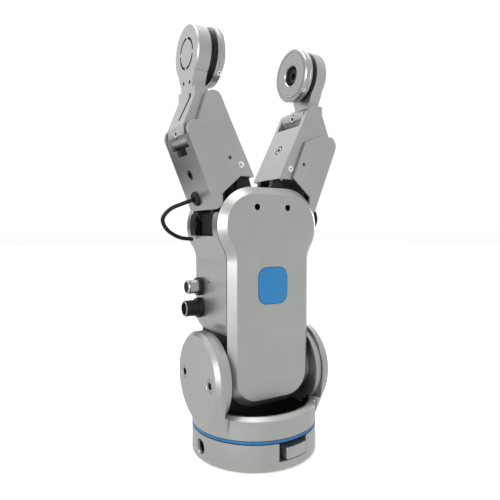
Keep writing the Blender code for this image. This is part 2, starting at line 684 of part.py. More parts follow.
def finger(side, name):
    bx, bz = INNER_TOP
    dx, dz = OUTER_TOP
    paddle = turned(name, "X", [(0, side * PADDLE_INNER), (PADDLE_RADIUS, side * PADDLE_INNER),
                                (PADDLE_RADIUS, side * (TIP_OUTER - 0.5)),
                                (PADDLE_RADIUS - 0.5, side * TIP_OUTER), (0, side * TIP_OUTER)],
                    (0, TIP_Z), 32)
    neck = [(-9.5, 185), (-8.6, 181.5), (-7.0, 178.5), (-NECK_HALF, 175.5), (-NECK_HALF, 170.5),
            (NECK_HALF, 170.5), (NECK_HALF, 175.5), (7.0, 178.5), (8.6, 181.5), (9.5, 185)]
    low, high = sorted((side * PADDLE_INNER, side * TIP_OUTER))
    fuse(paddle, prism("neck", "X", neck, low, high))
    foot = [(PADDLE_INNER, 175.0), (PADDLE_INNER, bz + 4.4)]
    foot += arc(bx, bz, 4.6, 85, 215, 8)
    foot += arc(dx, dz, 4.7, 215, 345, 8)
    foot += [(dx + 4.9, dz + 3.0), (TIP_OUTER, 170.8), (TIP_OUTER, 175.0)]
    fuse(paddle, prism("foot", "Y", [(side * x, z) for x, z in foot], -FOOT_HALF, FOOT_HALF))
    cut(paddle, rod("bore", "Y", (side * bx, bz), PIN_BORE, -12, 12))
    cut(paddle, rod("bore", "Y", (side * dx, dz), PIN_BORE, -12, 12))
    # screw seats square to the two lugs, and the slit that leads the wire up
    cut(paddle, screw_rod(side, "seat", bx, bz, -1, 1.6, 3.0, 9.0))
    cut(paddle, screw_rod(side, "seat", dx, dz, 1, 1.6, 3.0, 9.0))
    slit = [(dx + 1.0, 158.8), (dx + 8.0, 158.8), (TIP_OUTER + 3.0, 173.0), (TIP_OUTER - 1.6, 173.0)]
    cut(paddle, prism("slit", "Y", [(side * x, z) for x, z in slit], -0.8, 0.8))
    return paddle


def screw_rod(side, name, x, z, facing, radius, low, high, look=(ANODISED, 0.4, 0.9)):
    """Rod along X from a lug's pivot; facing +1 points away from the centre."""
    ends = sorted((side * (x + facing * low), side * (x + facing * high)))
    return rod(name, "X", (0, z), radius, ends[0], ends[1], 14, look)


def clamp_screw(side, name, x, z, facing):
    return screw_rod(side, name, x, z, facing, 1.3, 3.3, 4.8, ((0.25, 0.25, 0.25), 0.35, 1.0))


def hinge_pin(name, side, pivot_at, half):
    return rod(name, "Y", (side * pivot_at[0], pivot_at[1]), PIN_RADIUS, -half, half, 12, STEEL)


def sensor_ring(side, name):
    profile = [(0, PAD_BACK + GAP), (SENSOR_RADIUS, PAD_BACK + GAP), (SENSOR_RADIUS, PADDLE_INNER - GAP),
               (0, PADDLE_INNER - GAP)]
    return turned(name, "X", [(r, side * h) for r, h in profile], (0, TIP_Z), 32, (BLACK, 0.55, 0.0))


def pad(side, name):
    profile = [(PAD_BORE, PAD_FACE), (PAD_RADIUS - 0.6, PAD_FACE), (PAD_RADIUS, PAD_FACE + 0.6),
               (PAD_RADIUS, PAD_BACK), (PAD_BORE, PAD_BACK)]
    part = turned(name, "X", [(r, side * h) for r, h in profile], (0, TIP_Z), 32, (ANODISED, 0.35, 0.9))
    hole = rod("grub", "X", (0, 0), 0.9, -14.5, -11.0, 10)
    hole.data.transform(Matrix.Rotation(math.radians(90), 4, "Z"))
    hole.data.transform(Matrix.Rotation(math.radians(45), 4, "X"))
    hole.data.transform(Matrix.Translation(Vector((side * 24.9, 0, TIP_Z)) * MM))
    return cut(part, hole)


def pad_screw(side, name):
    profile = [(0, 25.6), (1.5, 25.6), (1.5, 24.6), (3.4, 24.6), (3.4, PAD_BACK), (0, PAD_BACK)]
    return turned(name, "X", [(r, side * h) for r, h in profile], (0, TIP_Z), 14,
                  ((0.2, 0.2, 0.2), 0.35, 1.0))


def grommet(side, name):
    profile = [(1.35, 2.8), (2.3, 2.8), (2.3, 5.2), (3.5, 5.2), (3.1, 6.6), (1.35, 6.6)]
    return link_turned(side, name, OUTER_BASE, 22.6, 2.0, profile, 14, (BLACK, 0.6, 0.0))


def smooth_route(points, samples):
    """Catmull-Rom samples through the route's points."""
    ends = [2 * points[0] - points[1]] + points + [2 * points[-1] - points[-2]]
    route = []
    for i in range(1, len(ends) - 2):
        p0, p1, p2, p3 = ends[i - 1], ends[i], ends[i + 1], ends[i + 2]
        for k in range(samples):
            s = k / samples
            route.append(0.5 * (2 * p1 + (p2 - p0) * s + (2 * p0 - 5 * p1 + 4 * p2 - p3) * s * s
                                + (3 * p1 - 3 * p2 + p3 - p0) * s ** 3))
    route.append(points[-1])
    return route


LEFT_CABLE = [(-28.6, *CABLE_EXIT), (-36.0, 11.2, 106.6), (-43.0, 9.0, 110.2), (-46.2, 6.6, 115.2),
              (-43.4, 4.4, 119.8), (-37.6, 2.8, 122.6), (-32.9, 2.0, 124.4)]
RIGHT_CABLE = [(28.6, *CABLE_EXIT), (34.9, 11.2, 106.4), (41.7, 9.2, 109.0), (45.4, 6.8, 114.0),
               (43.3, 4.4, 119.4), (38.0, 2.7, 122.7), (32.9, 2.0, 124.4)]


def cable(route, name):
    curve = bpy.data.curves.new(name, "CURVE")
    curve.dimensions = "3D"
    curve.bevel_depth = CABLE_RADIUS * MM
    curve.bevel_resolution = 2
    curve.use_fill_caps = True
    points = smooth_route([Vector(p) for p in route], 4)
    spline = curve.splines.new("POLY")
    spline.points.add(len(points) - 1)
    for target, point in zip(spline.points, points):
        target.co = (*(point * MM), 1.0)
    part = bpy.data.objects.new(name, curve)
    bpy.context.scene.collection.objects.link(part)
    curve.materials.append(make_material(name, BLACK, 0.55, 0.0))
    return part


# --------------------------------------------------------------------- assembly

def build():
    for leftover in list(bpy.data.objects):
        bpy.data.objects.remove(leftover)

    changer_base()
    contact_block()
    carry(joint_empty("release_button_joint", (0, 0, BUTTON_HEIGHT)), [release_button()])
    release_spring()

    seal_ring()
    bracket()
    contact_plate()
    for side, hand in ((-1, "left"), (1, "right")):
        ear_hub(side, f"ear_hub_{hand}")
        for y, place_name in ((-EAR_SCREW_Y, "front"), (EAR_SCREW_Y, "back")):
            ear_screw(side, y, f"ear_screw_{hand}_{place_name}")

    tilting = [front_cover(), badge(), frame(), back_cover(), motor(), gearbox(), worm_bearing(),
               control_board(), connector("connector_upper", UPPER_PORT, UPPER_PORT_RADIUS, 7.7),
               connector("connector_lower", LOWER_PORT, LOWER_PORT_RADIUS, 9.0)]
    for number, (x, z) in enumerate(COVER_SCREWS, 1):
        tilting.append(cover_screw(x, z, f"cover_screw_{number}"))
    tilting.append(worm())
    for side, hand in ((-1, "left"), (1, "right")):
        spot = (side * AXLE_X, AXLE_Z)
        head = turned(f"inner_axle_{hand}", "Y", [(0, -16.8), (1.0, -16.8), (1.0, -17.4), (2.4, -17.4),
                                                  (2.4, -16.6), (1.7, -16.6), (1.7, 16.7), (0, 16.7)],
                      spot, 12, STEEL)
        spot = (side * OUTER_BASE[0], OUTER_BASE[1])
        pin = rod(f"outer_axle_{hand}", "Y", spot, PIN_RADIUS, -15.6, 16.7, 12, STEEL)
        tilting += [head, pin, bumper(side, f"bumper_{hand}")]
        inner = [inner_link(side, f"inner_link_{hand}"), worm_wheel(side, f"worm_wheel_{hand}")]
        carry(joint_empty(f"inner_joint_{hand}", (side * AXLE_X, 0, AXLE_Z)), inner)
        outer = [outer_link(side, f"outer_link_{hand}"), grommet(side, f"grommet_{hand}")]
        carry(joint_empty(f"outer_joint_{hand}", (side * OUTER_BASE[0], 0, OUTER_BASE[1])), outer)
        tip = [finger(side, f"finger_{hand}"), sensor_ring(side, f"sensor_ring_{hand}"),
               pad(side, f"pad_{hand}"), pad_screw(side, f"pad_screw_{hand}"),
               hinge_pin(f"inner_pin_{hand}", side, INNER_TOP, 11.0),
               hinge_pin(f"outer_pin_{hand}", side, OUTER_TOP, 12.9),
               clamp_screw(side, f"inner_clamp_{hand}", *INNER_TOP, -1),
               clamp_screw(side, f"outer_clamp_{hand}", *OUTER_TOP, 1)]
        carry(joint_empty(f"finger_joint_{hand}", (side * OUTER_TOP[0], 0, OUTER_TOP[1])), tip)
        route = LEFT_CABLE if side < 0 else RIGHT_CABLE
        cable(route, f"sensor_cable_{hand}")
    carry(joint_empty("tilt_joint", (0, 0, TILT_HEIGHT)), tilting)
    for part in bpy.data.objects:
        if part.type == "MESH":
            merge_flat_faces(part)
            smooth(part)


build()
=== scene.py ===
"""Looks of a two-finger parallel gripper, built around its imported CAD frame.

Shapes are drawn in millimetres in the CAD's own frame: +Z points from the
robot flange to the fingertips, the fingers open along X, and -Y is the front.
The profile of a turned piece is a list of (radius, height along the axis).
"""
import math

import bmesh
import bpy
from mathutils import Matrix, Vector


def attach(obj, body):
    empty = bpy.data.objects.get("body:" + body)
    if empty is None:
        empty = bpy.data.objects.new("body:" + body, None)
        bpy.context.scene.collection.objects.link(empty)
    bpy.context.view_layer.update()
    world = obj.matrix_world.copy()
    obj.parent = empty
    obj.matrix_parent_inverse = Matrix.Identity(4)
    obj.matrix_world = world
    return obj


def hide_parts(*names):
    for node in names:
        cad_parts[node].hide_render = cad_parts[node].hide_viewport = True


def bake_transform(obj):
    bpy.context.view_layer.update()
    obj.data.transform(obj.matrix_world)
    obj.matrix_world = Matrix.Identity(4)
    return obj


MM = 0.001
HANDS = ((-1, "left"), (1, "right"))
ENDS = ((-1, "front"), (1, "back"))
GAP = 0.3  # kept between two solids that meet
BASE_STEPS = 128  # sides of the base's circles
DISC_STEPS = 96  # sides of the ears' and fingertips' circles

# Quick changer
BASE_RADIUS = 31.5
BASE_EDGE = 0.9
CHANGER_TOP = 12.95
CHANGER_CUT_TOP = 14.0  # cutters end here, above the changer
CHANGER_BORE = 16.0
CHANGER_FLOOR = 5.0
BOLT_CIRCLE = 25.0
BOLT_RADIUS = 3.3
BOLT_HEAD_RADIUS = 5.3
BOLT_HEAD_SEAT = 7.0
DOWEL_RADIUS = 3.0
DOWEL_DEPTH = 4.5
SIDE_HOLE_AT = (-2.2, 6.7)
SIDE_HOLE_RADIUS = 3.4
SIDE_HOLE_FLOOR = 26.0
BUTTON_ANGLE = -84.35
BUTTON_BACK = 24.8
BUTTON_LEFT, BUTTON_RIGHT = -4.9, 7.6
BUTTON_LOW, BUTTON_HIGH = 4.7, 10.4
BUTTON_PROUD = 0.5
RING_BORE = 17.0
RING_TOP = 14.65

# Tilting bracket
BRACKET_LOW = 14.95
BRACKET_FLOOR = 17.5
RIM_TOP = 25.1
RIM_BEVEL = 1.4
RIM_EDGE = 29.3
POCKET_RADIUS = 28.2
SPIGOT_LOW, SPIGOT_CEILING = 7.6, 15.3
SPIGOT_BORE, SPIGOT_RADIUS = 8.2, 15.6
TILT_HEIGHT = 39.1
TILT_AXIS = (0, TILT_HEIGHT)
EAR_OUTER = 32.4
EAR_INNER = 27.6
EAR_RADIUS = 22.4
EAR_FACE_RADIUS = 20.4
EAR_CHAMFER = 1.8
EAR_FOOT_TURN = 36.0
EAR_SCREW_Y = 14.0
EAR_SCREW_RADIUS = 3.3
HUB_SPIGOT = 5.7
HUB_DRUM = 12.5
HUB_COLLAR = 13.3
HUB_FLANGE = 19.5
HUB_SEAT = 19.8
HUB_OUTER = EAR_INNER - GAP

# Gripper body
COVER_FRONT = -17.7
COVER_BACK = -14.1
FRAME_FRONT = COVER_BACK + GAP
FRAME_BACK = 18.6
BODY_BACK = 20.4
BEVEL = 3.6
LOBE_X, LOBE_Z, LOBE_RADIUS = 9.8, 112.0, 15.0
LOBE_TURN = 33.0
WAIST = 19.75
FOOT_X, FOOT_RADIUS, FOOT_Z = 8.25, 11.5, 40.5
MIDDLE_Z = 80.0  # the outline is straight here
FRAME_TOP = 118.3
FRAME_FOOT_RADIUS = 13.0
WALL = 3.0
LOW_HALF_WIDTH = 20.0
LOW_TOP = 59.6
SWING_RADIUS = 21.2
SLOT_HALF = 9.3
SLOT_LOW = 107.3
BUMPER_LOW = 107.35
CABLE_EXIT = (12.0, 105.6)
BADGE_HALF, BADGE_CORNER = 8.2, 4.6
BADGE_LOW, BADGE_HIGH = 74.9, 92.3
BADGE_FLOOR = -17.2
COVER_SCREWS = ((12.0, 37.0), (-12.0, 37.0), (0.0, 124.5))
CONNECTOR_Y = 14.0
CONNECTOR_TAIL = 18.6
# name, height, radius, length past the wall, bore in the wall, look
CONNECTORS = (("upper", 81.5, 4.2, 7.7, 3.6, "chrome"),
              ("lower", 70.7, 4.7, 9.0, 3.9, "dark_steel"))

# Four-bar arms
LINK_LENGTH = 52.0
LEAN = math.radians(22.5)
AXLE_X, AXLE_Z = 8.7, 120.9
INNER_BASE = (AXLE_X, AXLE_Z)
OUTER_BASE = (17.6, 106.06)
PIN_BORE = 2.1
OUTER_CHEEK, OUTER_CHEEK_IN = 13.8, 12.35
INNER_CHEEK, INNER_CHEEK_IN = 12.05, 9.6
WEB_INSET = 0.5
HUB_OUT, HUB_IN = 7.2, 4.1
LUG_OUT, LUG_IN = 9.0, 7.5
INNER_SCREW_AT = 31.0
OUTER_SCREW_AT = 34.1
GROMMET_AT, GROMMET_Y = 22.6, 2.0
RIVET_X, RIVET_Z = 14.4, 140.8

# Fingertips
TIP_Z = 191.5
TIP_AXIS = (0, TIP_Z)
TIP_OUTER = 36.7
PADDLE_INNER = 30.2
PADDLE_RADIUS = 13.0
PADDLE_EDGE = 0.5
FOOT_HALF = 9.2
FOOT_TOP = 175.0
SLIT_LOW, SLIT_HIGH = 159.9, 172.4
SLIT_HALF = 1.1
SLIT_CENTRED_Z = 152.0
SLIT_SLOPE = 0.2
PINHOLES = ((3.2, 178.6), (-3.6, 177.7))
PINHOLE_RADIUS = 0.9
MARK_RADII = (7.3, 6.2)
MARK_START, MARK_SWEEP = 15, 76
CLAMP_RADIUS = 1.8
SENSOR_RADIUS = 12.2
SENSOR_GROOVE = 0.35
PAD_BACK = 27.0
PAD_FACE = 22.8
PAD_RADIUS = 13.5
PAD_BORE = 5.0
GRUB_X = 24.4
GRUB_ANGLES = (("low", 45), ("high", -62))

# Surface texture, with lengths in metres
GRAIN_DETAIL = 3.0
GRAIN_STRENGTH = 0.35
CLOUD_SCALE = 55.0
CLOUD_DETAIL = 4.0
NOISE_RANGE = (0.3, 0.7)
ROUGHNESS_SWING = 0.04
LATHE_PITCH = 0.0013
LATHE_STRENGTH = 0.5
LATHE_DEPTH = 0.00006
LATHE_LIGHT, LATHE_DARK = 1.08, 0.66


# ---- materials

def shader_nodes(name, colour, metallic, roughness):
    material = bpy.data.materials.new(name)
    material.use_nodes = True
    tree = material.node_tree
    shader = tree.nodes["Principled BSDF"]
    shader.inputs["Base Color"].default_value = (*colour, 1.0)
    shader.inputs["Metallic"].default_value = metallic
    shader.inputs["Roughness"].default_value = roughness
    return material, tree, shader


def noise(tree, scale, detail, coordinates):
    node = tree.nodes.new("ShaderNodeTexNoise")
    node.inputs["Scale"].default_value = scale
    node.inputs["Detail"].default_value = detail
    tree.links.new(coordinates, node.inputs["Vector"])
    return node.outputs["Fac"]


def map_range(tree, value, seen, wanted, curve="LINEAR"):
    """Map value from the range seen onto the range wanted."""
    node = tree.nodes.new("ShaderNodeMapRange")
    node.interpolation_type = curve
    for label, limit in zip(("From Min", "From Max", "To Min", "To Max"), (*seen, *wanted)):
        node.inputs[label].default_value = limit
    tree.links.new(value, node.inputs["Value"])
    return node.outputs["Result"]


def maths(tree, kind, operation, source, other=None):
    """Math or VectorMath node on source, with other as its second value."""
    node = tree.nodes.new(f"ShaderNode{kind}")
    node.operation = operation
    tree.links.new(source, node.inputs[0])
    if other:
        node.inputs[1].default_value = other
    return node


def tint(tree, factor, dark, light):
    node = tree.nodes.new("ShaderNodeMix")
    node.data_type = "RGBA"
    node.inputs["A"].default_value = (*dark, 1.0)
    node.inputs["B"].default_value = (*light, 1.0)
    tree.links.new(factor, node.inputs["Factor"])
    return node.outputs["Result"]


def scaled(colour, factor):
    return tuple(min(1.0, channel * factor) for channel in colour)


def bump(tree, shader, height, strength, distance):
    node = tree.nodes.new("ShaderNodeBump")
    node.inputs["Strength"].default_value = strength
    node.inputs["Distance"].default_value = distance
    tree.links.new(height, node.inputs["Height"])
    tree.links.new(node.outputs["Normal"], shader.inputs["Normal"])


def grainy(name, colour, metallic, roughness, grain=2600.0, depth=0.00003, mottle=0.05, gloss=0.5):
    """Surface with a fine blasted or moulded grain and a faint cloudiness."""
    material, tree, shader = shader_nodes(name, colour, metallic, roughness)
    where = tree.nodes.new("ShaderNodeTexCoord").outputs["Object"]
    fine = noise(tree, grain, GRAIN_DETAIL, where)
    cloudy = noise(tree, CLOUD_SCALE, CLOUD_DETAIL, where)
    blend = map_range(tree, cloudy, NOISE_RANGE, (0.0, 1.0))
    mottled = tint(tree, blend, scaled(colour, 1 - mottle), scaled(colour, 1 + mottle))
    tree.links.new(mottled, shader.inputs["Base Color"])
    swing = (roughness - ROUGHNESS_SWING, roughness + ROUGHNESS_SWING)
    tree.links.new(map_range(tree, cloudy, NOISE_RANGE, swing), shader.inputs["Roughness"])
    bump(tree, shader, fine, GRAIN_STRENGTH, depth)
    shader.inputs["Specular IOR Level"].default_value = gloss
    return material


def turned_metal(name, colour, metallic, roughness, centre):
    """Metal with the fine concentric marks of a lathe about an X-direction axis."""
    material, tree, shader = shader_nodes(name, colour, metallic, roughness)
    where = tree.nodes.new("ShaderNodeTexCoord").outputs["Object"]
    shift = maths(tree, "VectorMath", "SUBTRACT", where, centre)
    flat = maths(tree, "VectorMath", "MULTIPLY", shift.outputs["Vector"], (0.0, 1.0, 1.0))
    reach = maths(tree, "VectorMath", "LENGTH", flat.outputs["Vector"])
    phase = maths(tree, "Math", "MULTIPLY", reach.outputs["Value"], 2 * math.pi / LATHE_PITCH)
    wave = maths(tree, "Math", "SINE", phase.outputs["Value"])
    ridge = map_range(tree, wave.outputs["Value"], (-1.0, 1.0), (0.0, 1.0))
    rings = tint(tree, ridge, scaled(colour, LATHE_DARK), scaled(colour, LATHE_LIGHT))
    tree.links.new(rings, shader.inputs["Base Color"])
    bump(tree, shader, ridge, LATHE_STRENGTH, LATHE_DEPTH)
    return material


LOOKS = {
    "anodised": grainy("bead blasted aluminium", (0.46, 0.47, 0.455), 0.9, 0.36),
    # near-black metal that paints the shade on the arms' knuckles and tongues and on the hub drums between
    # ear and body
    "anodised_dark": grainy("dark aluminium painted as shade", (0.02, 0.02, 0.02), 0.4, 0.38),
    "machined": turned_metal("turned aluminium", (0.44, 0.45, 0.435), 0.9, 0.28, (0.0, 0.0, TIP_Z * MM)),
    "steel": grainy("ground steel", (0.50, 0.50, 0.50), 1.0, 0.25, 1800.0, 0.00001),
    "screw_steel": grainy("zinc plated steel", (0.42, 0.42, 0.41), 1.0, 0.28, 3000.0, 0.00001),
    "dark_steel": grainy("blackened steel", (0.03, 0.03, 0.032), 0.7, 0.35, 3000.0, 0.00001),
    "chrome": grainy("nickel plate", (0.62, 0.62, 0.60), 1.0, 0.14, 2000.0, 0.000005, 0.02),
    "bronze": grainy("machined bronze", (0.55, 0.38, 0.14), 1.0, 0.32),
    "gold": grainy("gold contact", (0.75, 0.55, 0.22), 1.0, 0.2),
    "rubber": grainy("matte rubber", (0.008, 0.008, 0.009), 0.0, 0.55, 1600.0, 0.00005, 0.2, 0.3),
    "black_plastic": grainy("black moulding", (0.008, 0.008, 0.009), 0.0, 0.42, 1400.0, 0.00004, 0.2, 0.35),
    "blue_plastic": grainy("blue moulding", (0.012, 0.13, 0.31), 0.0, 0.40, 1500.0, 0.00002, 0.06),
    "blue_print": grainy("blue inlay", (0.006, 0.165, 0.40), 0.0, 0.42, 1500.0, 0.00001, 0.03),
    # pale, nearly white colour that paints the highlight on small shiny rims and screws
    "pale_rim": grainy("pale painted highlight", (0.78, 0.79, 0.77), 0.1, 0.45, 2000.0, 0.000005, 0.03),
    # near-black painted shade, laid into holes, pockets, sockets, slits, grooves and gaps where shade falls
    "shadow": grainy("painted recess shade", (0.004, 0.004, 0.004), 0.0, 0.9, gloss=0.1),
    "motor_case": grainy("motor enamel", (0.06, 0.06, 0.065), 0.6, 0.38),
    "circuit_board": grainy("solder mask", (0.012, 0.10, 0.04), 0.0, 0.42, 900.0, 0.00003, 0.25),
}


# ---- shape helpers

MERGE_DISTANCE = 0.0005
ON_AXIS = 1e-6
FLAT_ANGLE = math.radians(0.05)


def add_object(name, data):
    made = bpy.data.objects.new(name, data)
    bpy.context.scene.collection.objects.link(made)
    return made


def mesh_object(name, bm):
    """Turn a bmesh in millimetres into a mesh object in metres."""
    bmesh.ops.remove_doubles(bm, verts=bm.verts, dist=MERGE_DISTANCE)
    bmesh.ops.recalc_face_normals(bm, faces=bm.faces)
    bmesh.ops.scale(bm, vec=(MM, MM, MM), verts=bm.verts)
    mesh = bpy.data.meshes.new(name)
    bm.to_mesh(mesh)
    bm.free()
    return add_object(name, mesh)


def place(axis, u, v, w):
    """Point whose outline coordinates are (u, v), at height w along axis."""
    if axis == "X":
        return (w, u, v)
    if axis == "Y":
        return (u, w, v)
    return (u, v, w)


def polar(cx, cz, radius, degrees):
    angle = math.radians(degrees)
    return (cx + radius * math.cos(angle), cz + radius * math.sin(angle))


def arc(cx, cz, radius, start, end, steps):
    return [polar(cx, cz, radius, start + (end - start) * i / steps) for i in range(steps + 1)]


def span(side, near, far):
    """Two distances along side as low and high coordinates."""
    return sorted((side * near, side * far))


def to_side(side, outline):
    """The right hand's outline, mirrored for the left."""
    return [(side * x, z) for x, z in outline]


def skin(name, sections):
    """Solid through rings of equally many points."""
    bm = bmesh.new()
    rings = [[bm.verts.new(point) for point in section] for section in sections]
    bm.faces.new(rings[0])
    bm.faces.new(rings[-1])
    for one, two in zip(rings, rings[1:]):
        for i in range(len(one)):
            j = (i + 1) % len(one)
            bm.faces.new((one[i], one[j], two[j], two[i]))
    return mesh_object(name, bm)


def loft(name, axis, sections):
    """Solid through equal-length outlines, each given with its height."""
    return skin(name, [[place(axis, u, v, height) for u, v in outline] for outline, height in sections])


def prism(name, axis, outline, low, high):
    return loft(name, axis, [(outline, low), (outline, high)])


def turned(name, axis, profile, centre=(0.0, 0.0), steps=64, side=1):
    """Closed profile of (radius, height) points turned about an axis."""
    bm = bmesh.new()
    rings = []
    for radius, height in profile:
        if radius < ON_AXIS:
            rings.append([bm.verts.new(place(axis, *centre, side * height))])
            continue
        circle = arc(*centre, radius, 0.0, 360.0, steps)[:-1]
        rings.append([bm.verts.new(place(axis, u, v, side * height)) for u, v in circle])
    for one, two in zip(rings, rings[1:] + rings[:1]):
        if len(one) == 1 and len(two) == 1:
            continue
        for i in range(steps):
            j = (i + 1) % steps
            corners = [one[i % len(one)], one[j % len(one)], two[j % len(two)], two[i % len(two)]]
            bm.faces.new(list(dict.fromkeys(corners)))
    return mesh_object(name, bm)


def tube(name, axis, radii, heights, centre=(0.0, 0.0), steps=32, side=1):
    """Ring between two radii and two heights."""
    inner, outer = radii
    low, high = heights
    return turned(name, axis, [(inner, low), (outer, low), (outer, high), (inner, high)], centre, steps, side)


def rod(name, axis, centre, radius, low, high, steps=24):
    low, high = sorted((low, high))
    return turned(name, axis, [(0.0, low), (radius, low), (radius, high), (0.0, high)], centre, steps)


def box(name, low, high):
    outline = [(low[0], low[1]), (high[0], low[1]), (high[0], high[1]), (low[0], high[1])]
    return prism(name, "Z", outline, low[2], high[2])


def combine(target, other, operation):
    """Apply an exact Boolean of other on target, then drop other."""
    modifier = target.modifiers.new(operation.lower(), "BOOLEAN")
    modifier.operation = operation
    modifier.solver = "EXACT"
    modifier.object = other
    graph = bpy.context.evaluated_depsgraph_get()
    result = bpy.data.meshes.new_from_object(target.evaluated_get(graph))
    target.modifiers.clear()
    target.data = result
    bpy.data.objects.remove(other)
    return target


def cut(target, *others):
    for other in others:
        combine(target, other, "DIFFERENCE")
    return target


def fuse(target, *others):
    for other in others:
        combine(target, other, "UNION")
    return target


def turn_about_z(made, degrees):
    made.data.transform(Matrix.Rotation(math.radians(degrees), 4, "Z"))
    return made


def finish(made, body, look, edge=0.25, replaces=None, smooth=32.0):
    """Round the edges, shade, paint, and let the piece ride on its CAD body."""
    bm = bmesh.new()
    bm.from_mesh(made.data)
    bmesh.ops.dissolve_limit(bm, angle_limit=FLAT_ANGLE, verts=bm.verts, edges=bm.edges)
    bm.to_mesh(made.data)
    bm.free()
    made.data.materials.clear()
    made.data.materials.append(LOOKS[look])
    if edge:
        bevel = made.modifiers.new("edges", "BEVEL")
        bevel.width = edge * MM
        bevel.segments = 2
        bevel.limit_method = "ANGLE"
        bevel.angle_limit = math.radians(smooth)
        bevel.use_clamp_overlap = True
        bevel.harden_normals = True
    made.data.shade_smooth()
    made.data.set_sharp_from_angle(angle=math.radians(smooth))
    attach(made, body)
    if replaces:
        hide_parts(replaces)
    return made


# ---- socket screws

# as parts of the head's radius
SHANK = 0.5
SOCKET_DEPTH = 0.55
COUNTERSINK = 0.85
# WELL_ACROSS and WELL_DEPTH size the near-black plug of painted shade in the socket
WELL_ACROSS = 0.97

SOCKET_TURN = 12.0
WELL_DEPTH = 0.3
FLAT_HEAD_STEP = 0.01


def hexagon(across, centre=(0.0, 0.0), turn=0.0):
    radius = across / math.sqrt(3)
    return arc(*centre, radius, turn, 360 + turn, 6)[:-1]


def fit_screw(name, body, axis, centre, tip, head, radius, side=1, countersunk=True,
              look="screw_steel", replaces=None, link=None):
    """Screw with a near-black floor of painted shade in its hexagon socket, and, on a flat head, a ring of
    painted shade in the gap around the head.

    Its tip and head are distances along side, and link turns the pieces onto an arm.
    """
    slope = radius * COUNTERSINK if countersunk else FLAT_HEAD_STEP
    shank = radius * SHANK
    profile = [(0, tip), (shank, tip), (shank, head - slope), (radius, head), (0, head)]
    screw = turned(name, axis, profile, centre, 32, side)
    floor = head - radius * SOCKET_DEPTH
    cut(screw, prism("socket", axis, hexagon(radius, centre, SOCKET_TURN), *span(side, floor, head + 1)))
    # the well is a near-black plug of painted shade on the socket's floor
    fill = hexagon(radius * WELL_ACROSS, centre, SOCKET_TURN)
    well = prism(f"{name}_well", axis, fill, *span(side, floor, floor + WELL_DEPTH))
    made = [(screw, look, 0.1, replaces), (well, "shadow", 0, None)]
    # on a flat head, a near-black ring of painted shade fills the gap around it
    if not countersunk:
        gap = tube(f"{name}_gap", axis, (radius + 0.03, radius + 0.38), (head - 1.0, head - 0.2),
                   centre, 32, side)
        made.append((gap, "shadow", 0, None))
    for piece, paint, edge, node in made:
        if link:
            on_link(piece, *link)
        finish(piece, body, paint, edge, node)


# ---- quick changer

def changer_base():
    base = turned("base_shell", "Z", [
        (0, 0), (BASE_RADIUS - BASE_EDGE, 0), (BASE_RADIUS, BASE_EDGE), (BASE_RADIUS, CHANGER_TOP),
        (CHANGER_BORE, CHANGER_TOP), (CHANGER_BORE, CHANGER_FLOOR), (0, CHANGER_FLOOR)], steps=BASE_STEPS)
    for quarter in range(4):
        spot = polar(0, 0, BOLT_CIRCLE, 45 + 90 * quarter)
        cut(base, rod("bolt", "Z", spot, BOLT_RADIUS, -1, CHANGER_CUT_TOP),
            rod("head", "Z", spot, BOLT_HEAD_RADIUS, BOLT_HEAD_SEAT, CHANGER_CUT_TOP))
    cut(base, rod("dowel", "Z", (0, BOLT_CIRCLE), DOWEL_RADIUS, -1, DOWEL_DEPTH))
    profile = [(0, 34), (4.7, 34), (SIDE_HOLE_RADIUS, 30.8), (SIDE_HOLE_RADIUS, SIDE_HOLE_FLOOR),
               (0, SIDE_HOLE_FLOOR)]
    side_hole = turned("side", "X", profile, SIDE_HOLE_AT, 40, -1)
    window = box("window", (21.8, -8.5, BUTTON_LOW - GAP), (34, BUTTON_RIGHT + GAP, CHANGER_CUT_TOP))
    cut(base, side_hole, turn_about_z(window, BUTTON_ANGLE))
    finish(base, "changer", "anodised", 0.3, "changer_base")


def side_hole_shade():
    """Near-black lining of painted shade in the side hole."""
    wall, floor = 2.7, 27.4
    outer, back, mouth = SIDE_HOLE_RADIUS - 0.05, SIDE_HOLE_FLOOR + 0.2, 30.0
    profile = [(0, back), (outer, back), (outer, mouth), (wall, mouth), (wall, floor), (0, floor)]
    finish(turned("side_hole_shade", "X", profile, SIDE_HOLE_AT, 32, -1), "changer", "shadow", 0.1)


def release_button():
    outer = BASE_RADIUS + BUTTON_PROUD
    start, end = (math.degrees(math.asin(edge / outer)) for edge in (BUTTON_LEFT, BUTTON_RIGHT))
    outline = [(BUTTON_BACK, BUTTON_RIGHT), (BUTTON_BACK, BUTTON_LEFT)] + arc(0, 0, outer, start, end, 16)
    button = turn_about_z(prism("button_cap", "Z", outline, BUTTON_LOW, BUTTON_HIGH), BUTTON_ANGLE)
    finish(button, "release_button", "anodised", 0.75, "release_button")


def seal_ring():
    """Blue ring, a little crowned."""
    low = CHANGER_TOP + GAP
    middle = (low + RING_TOP) / 2
    edge = BASE_RADIUS - 0.25
    crown = BASE_RADIUS + 0.05
    profile = [(RING_BORE, low), (edge, low), (crown, middle - 0.35), (crown, middle + 0.35),
               (edge, RING_TOP), (RING_BORE, RING_TOP)]
    finish(turned("colour_ring", "Z", profile, steps=BASE_STEPS), "changer", "blue_plastic", 0, "seal_ring")


# ---- bracket

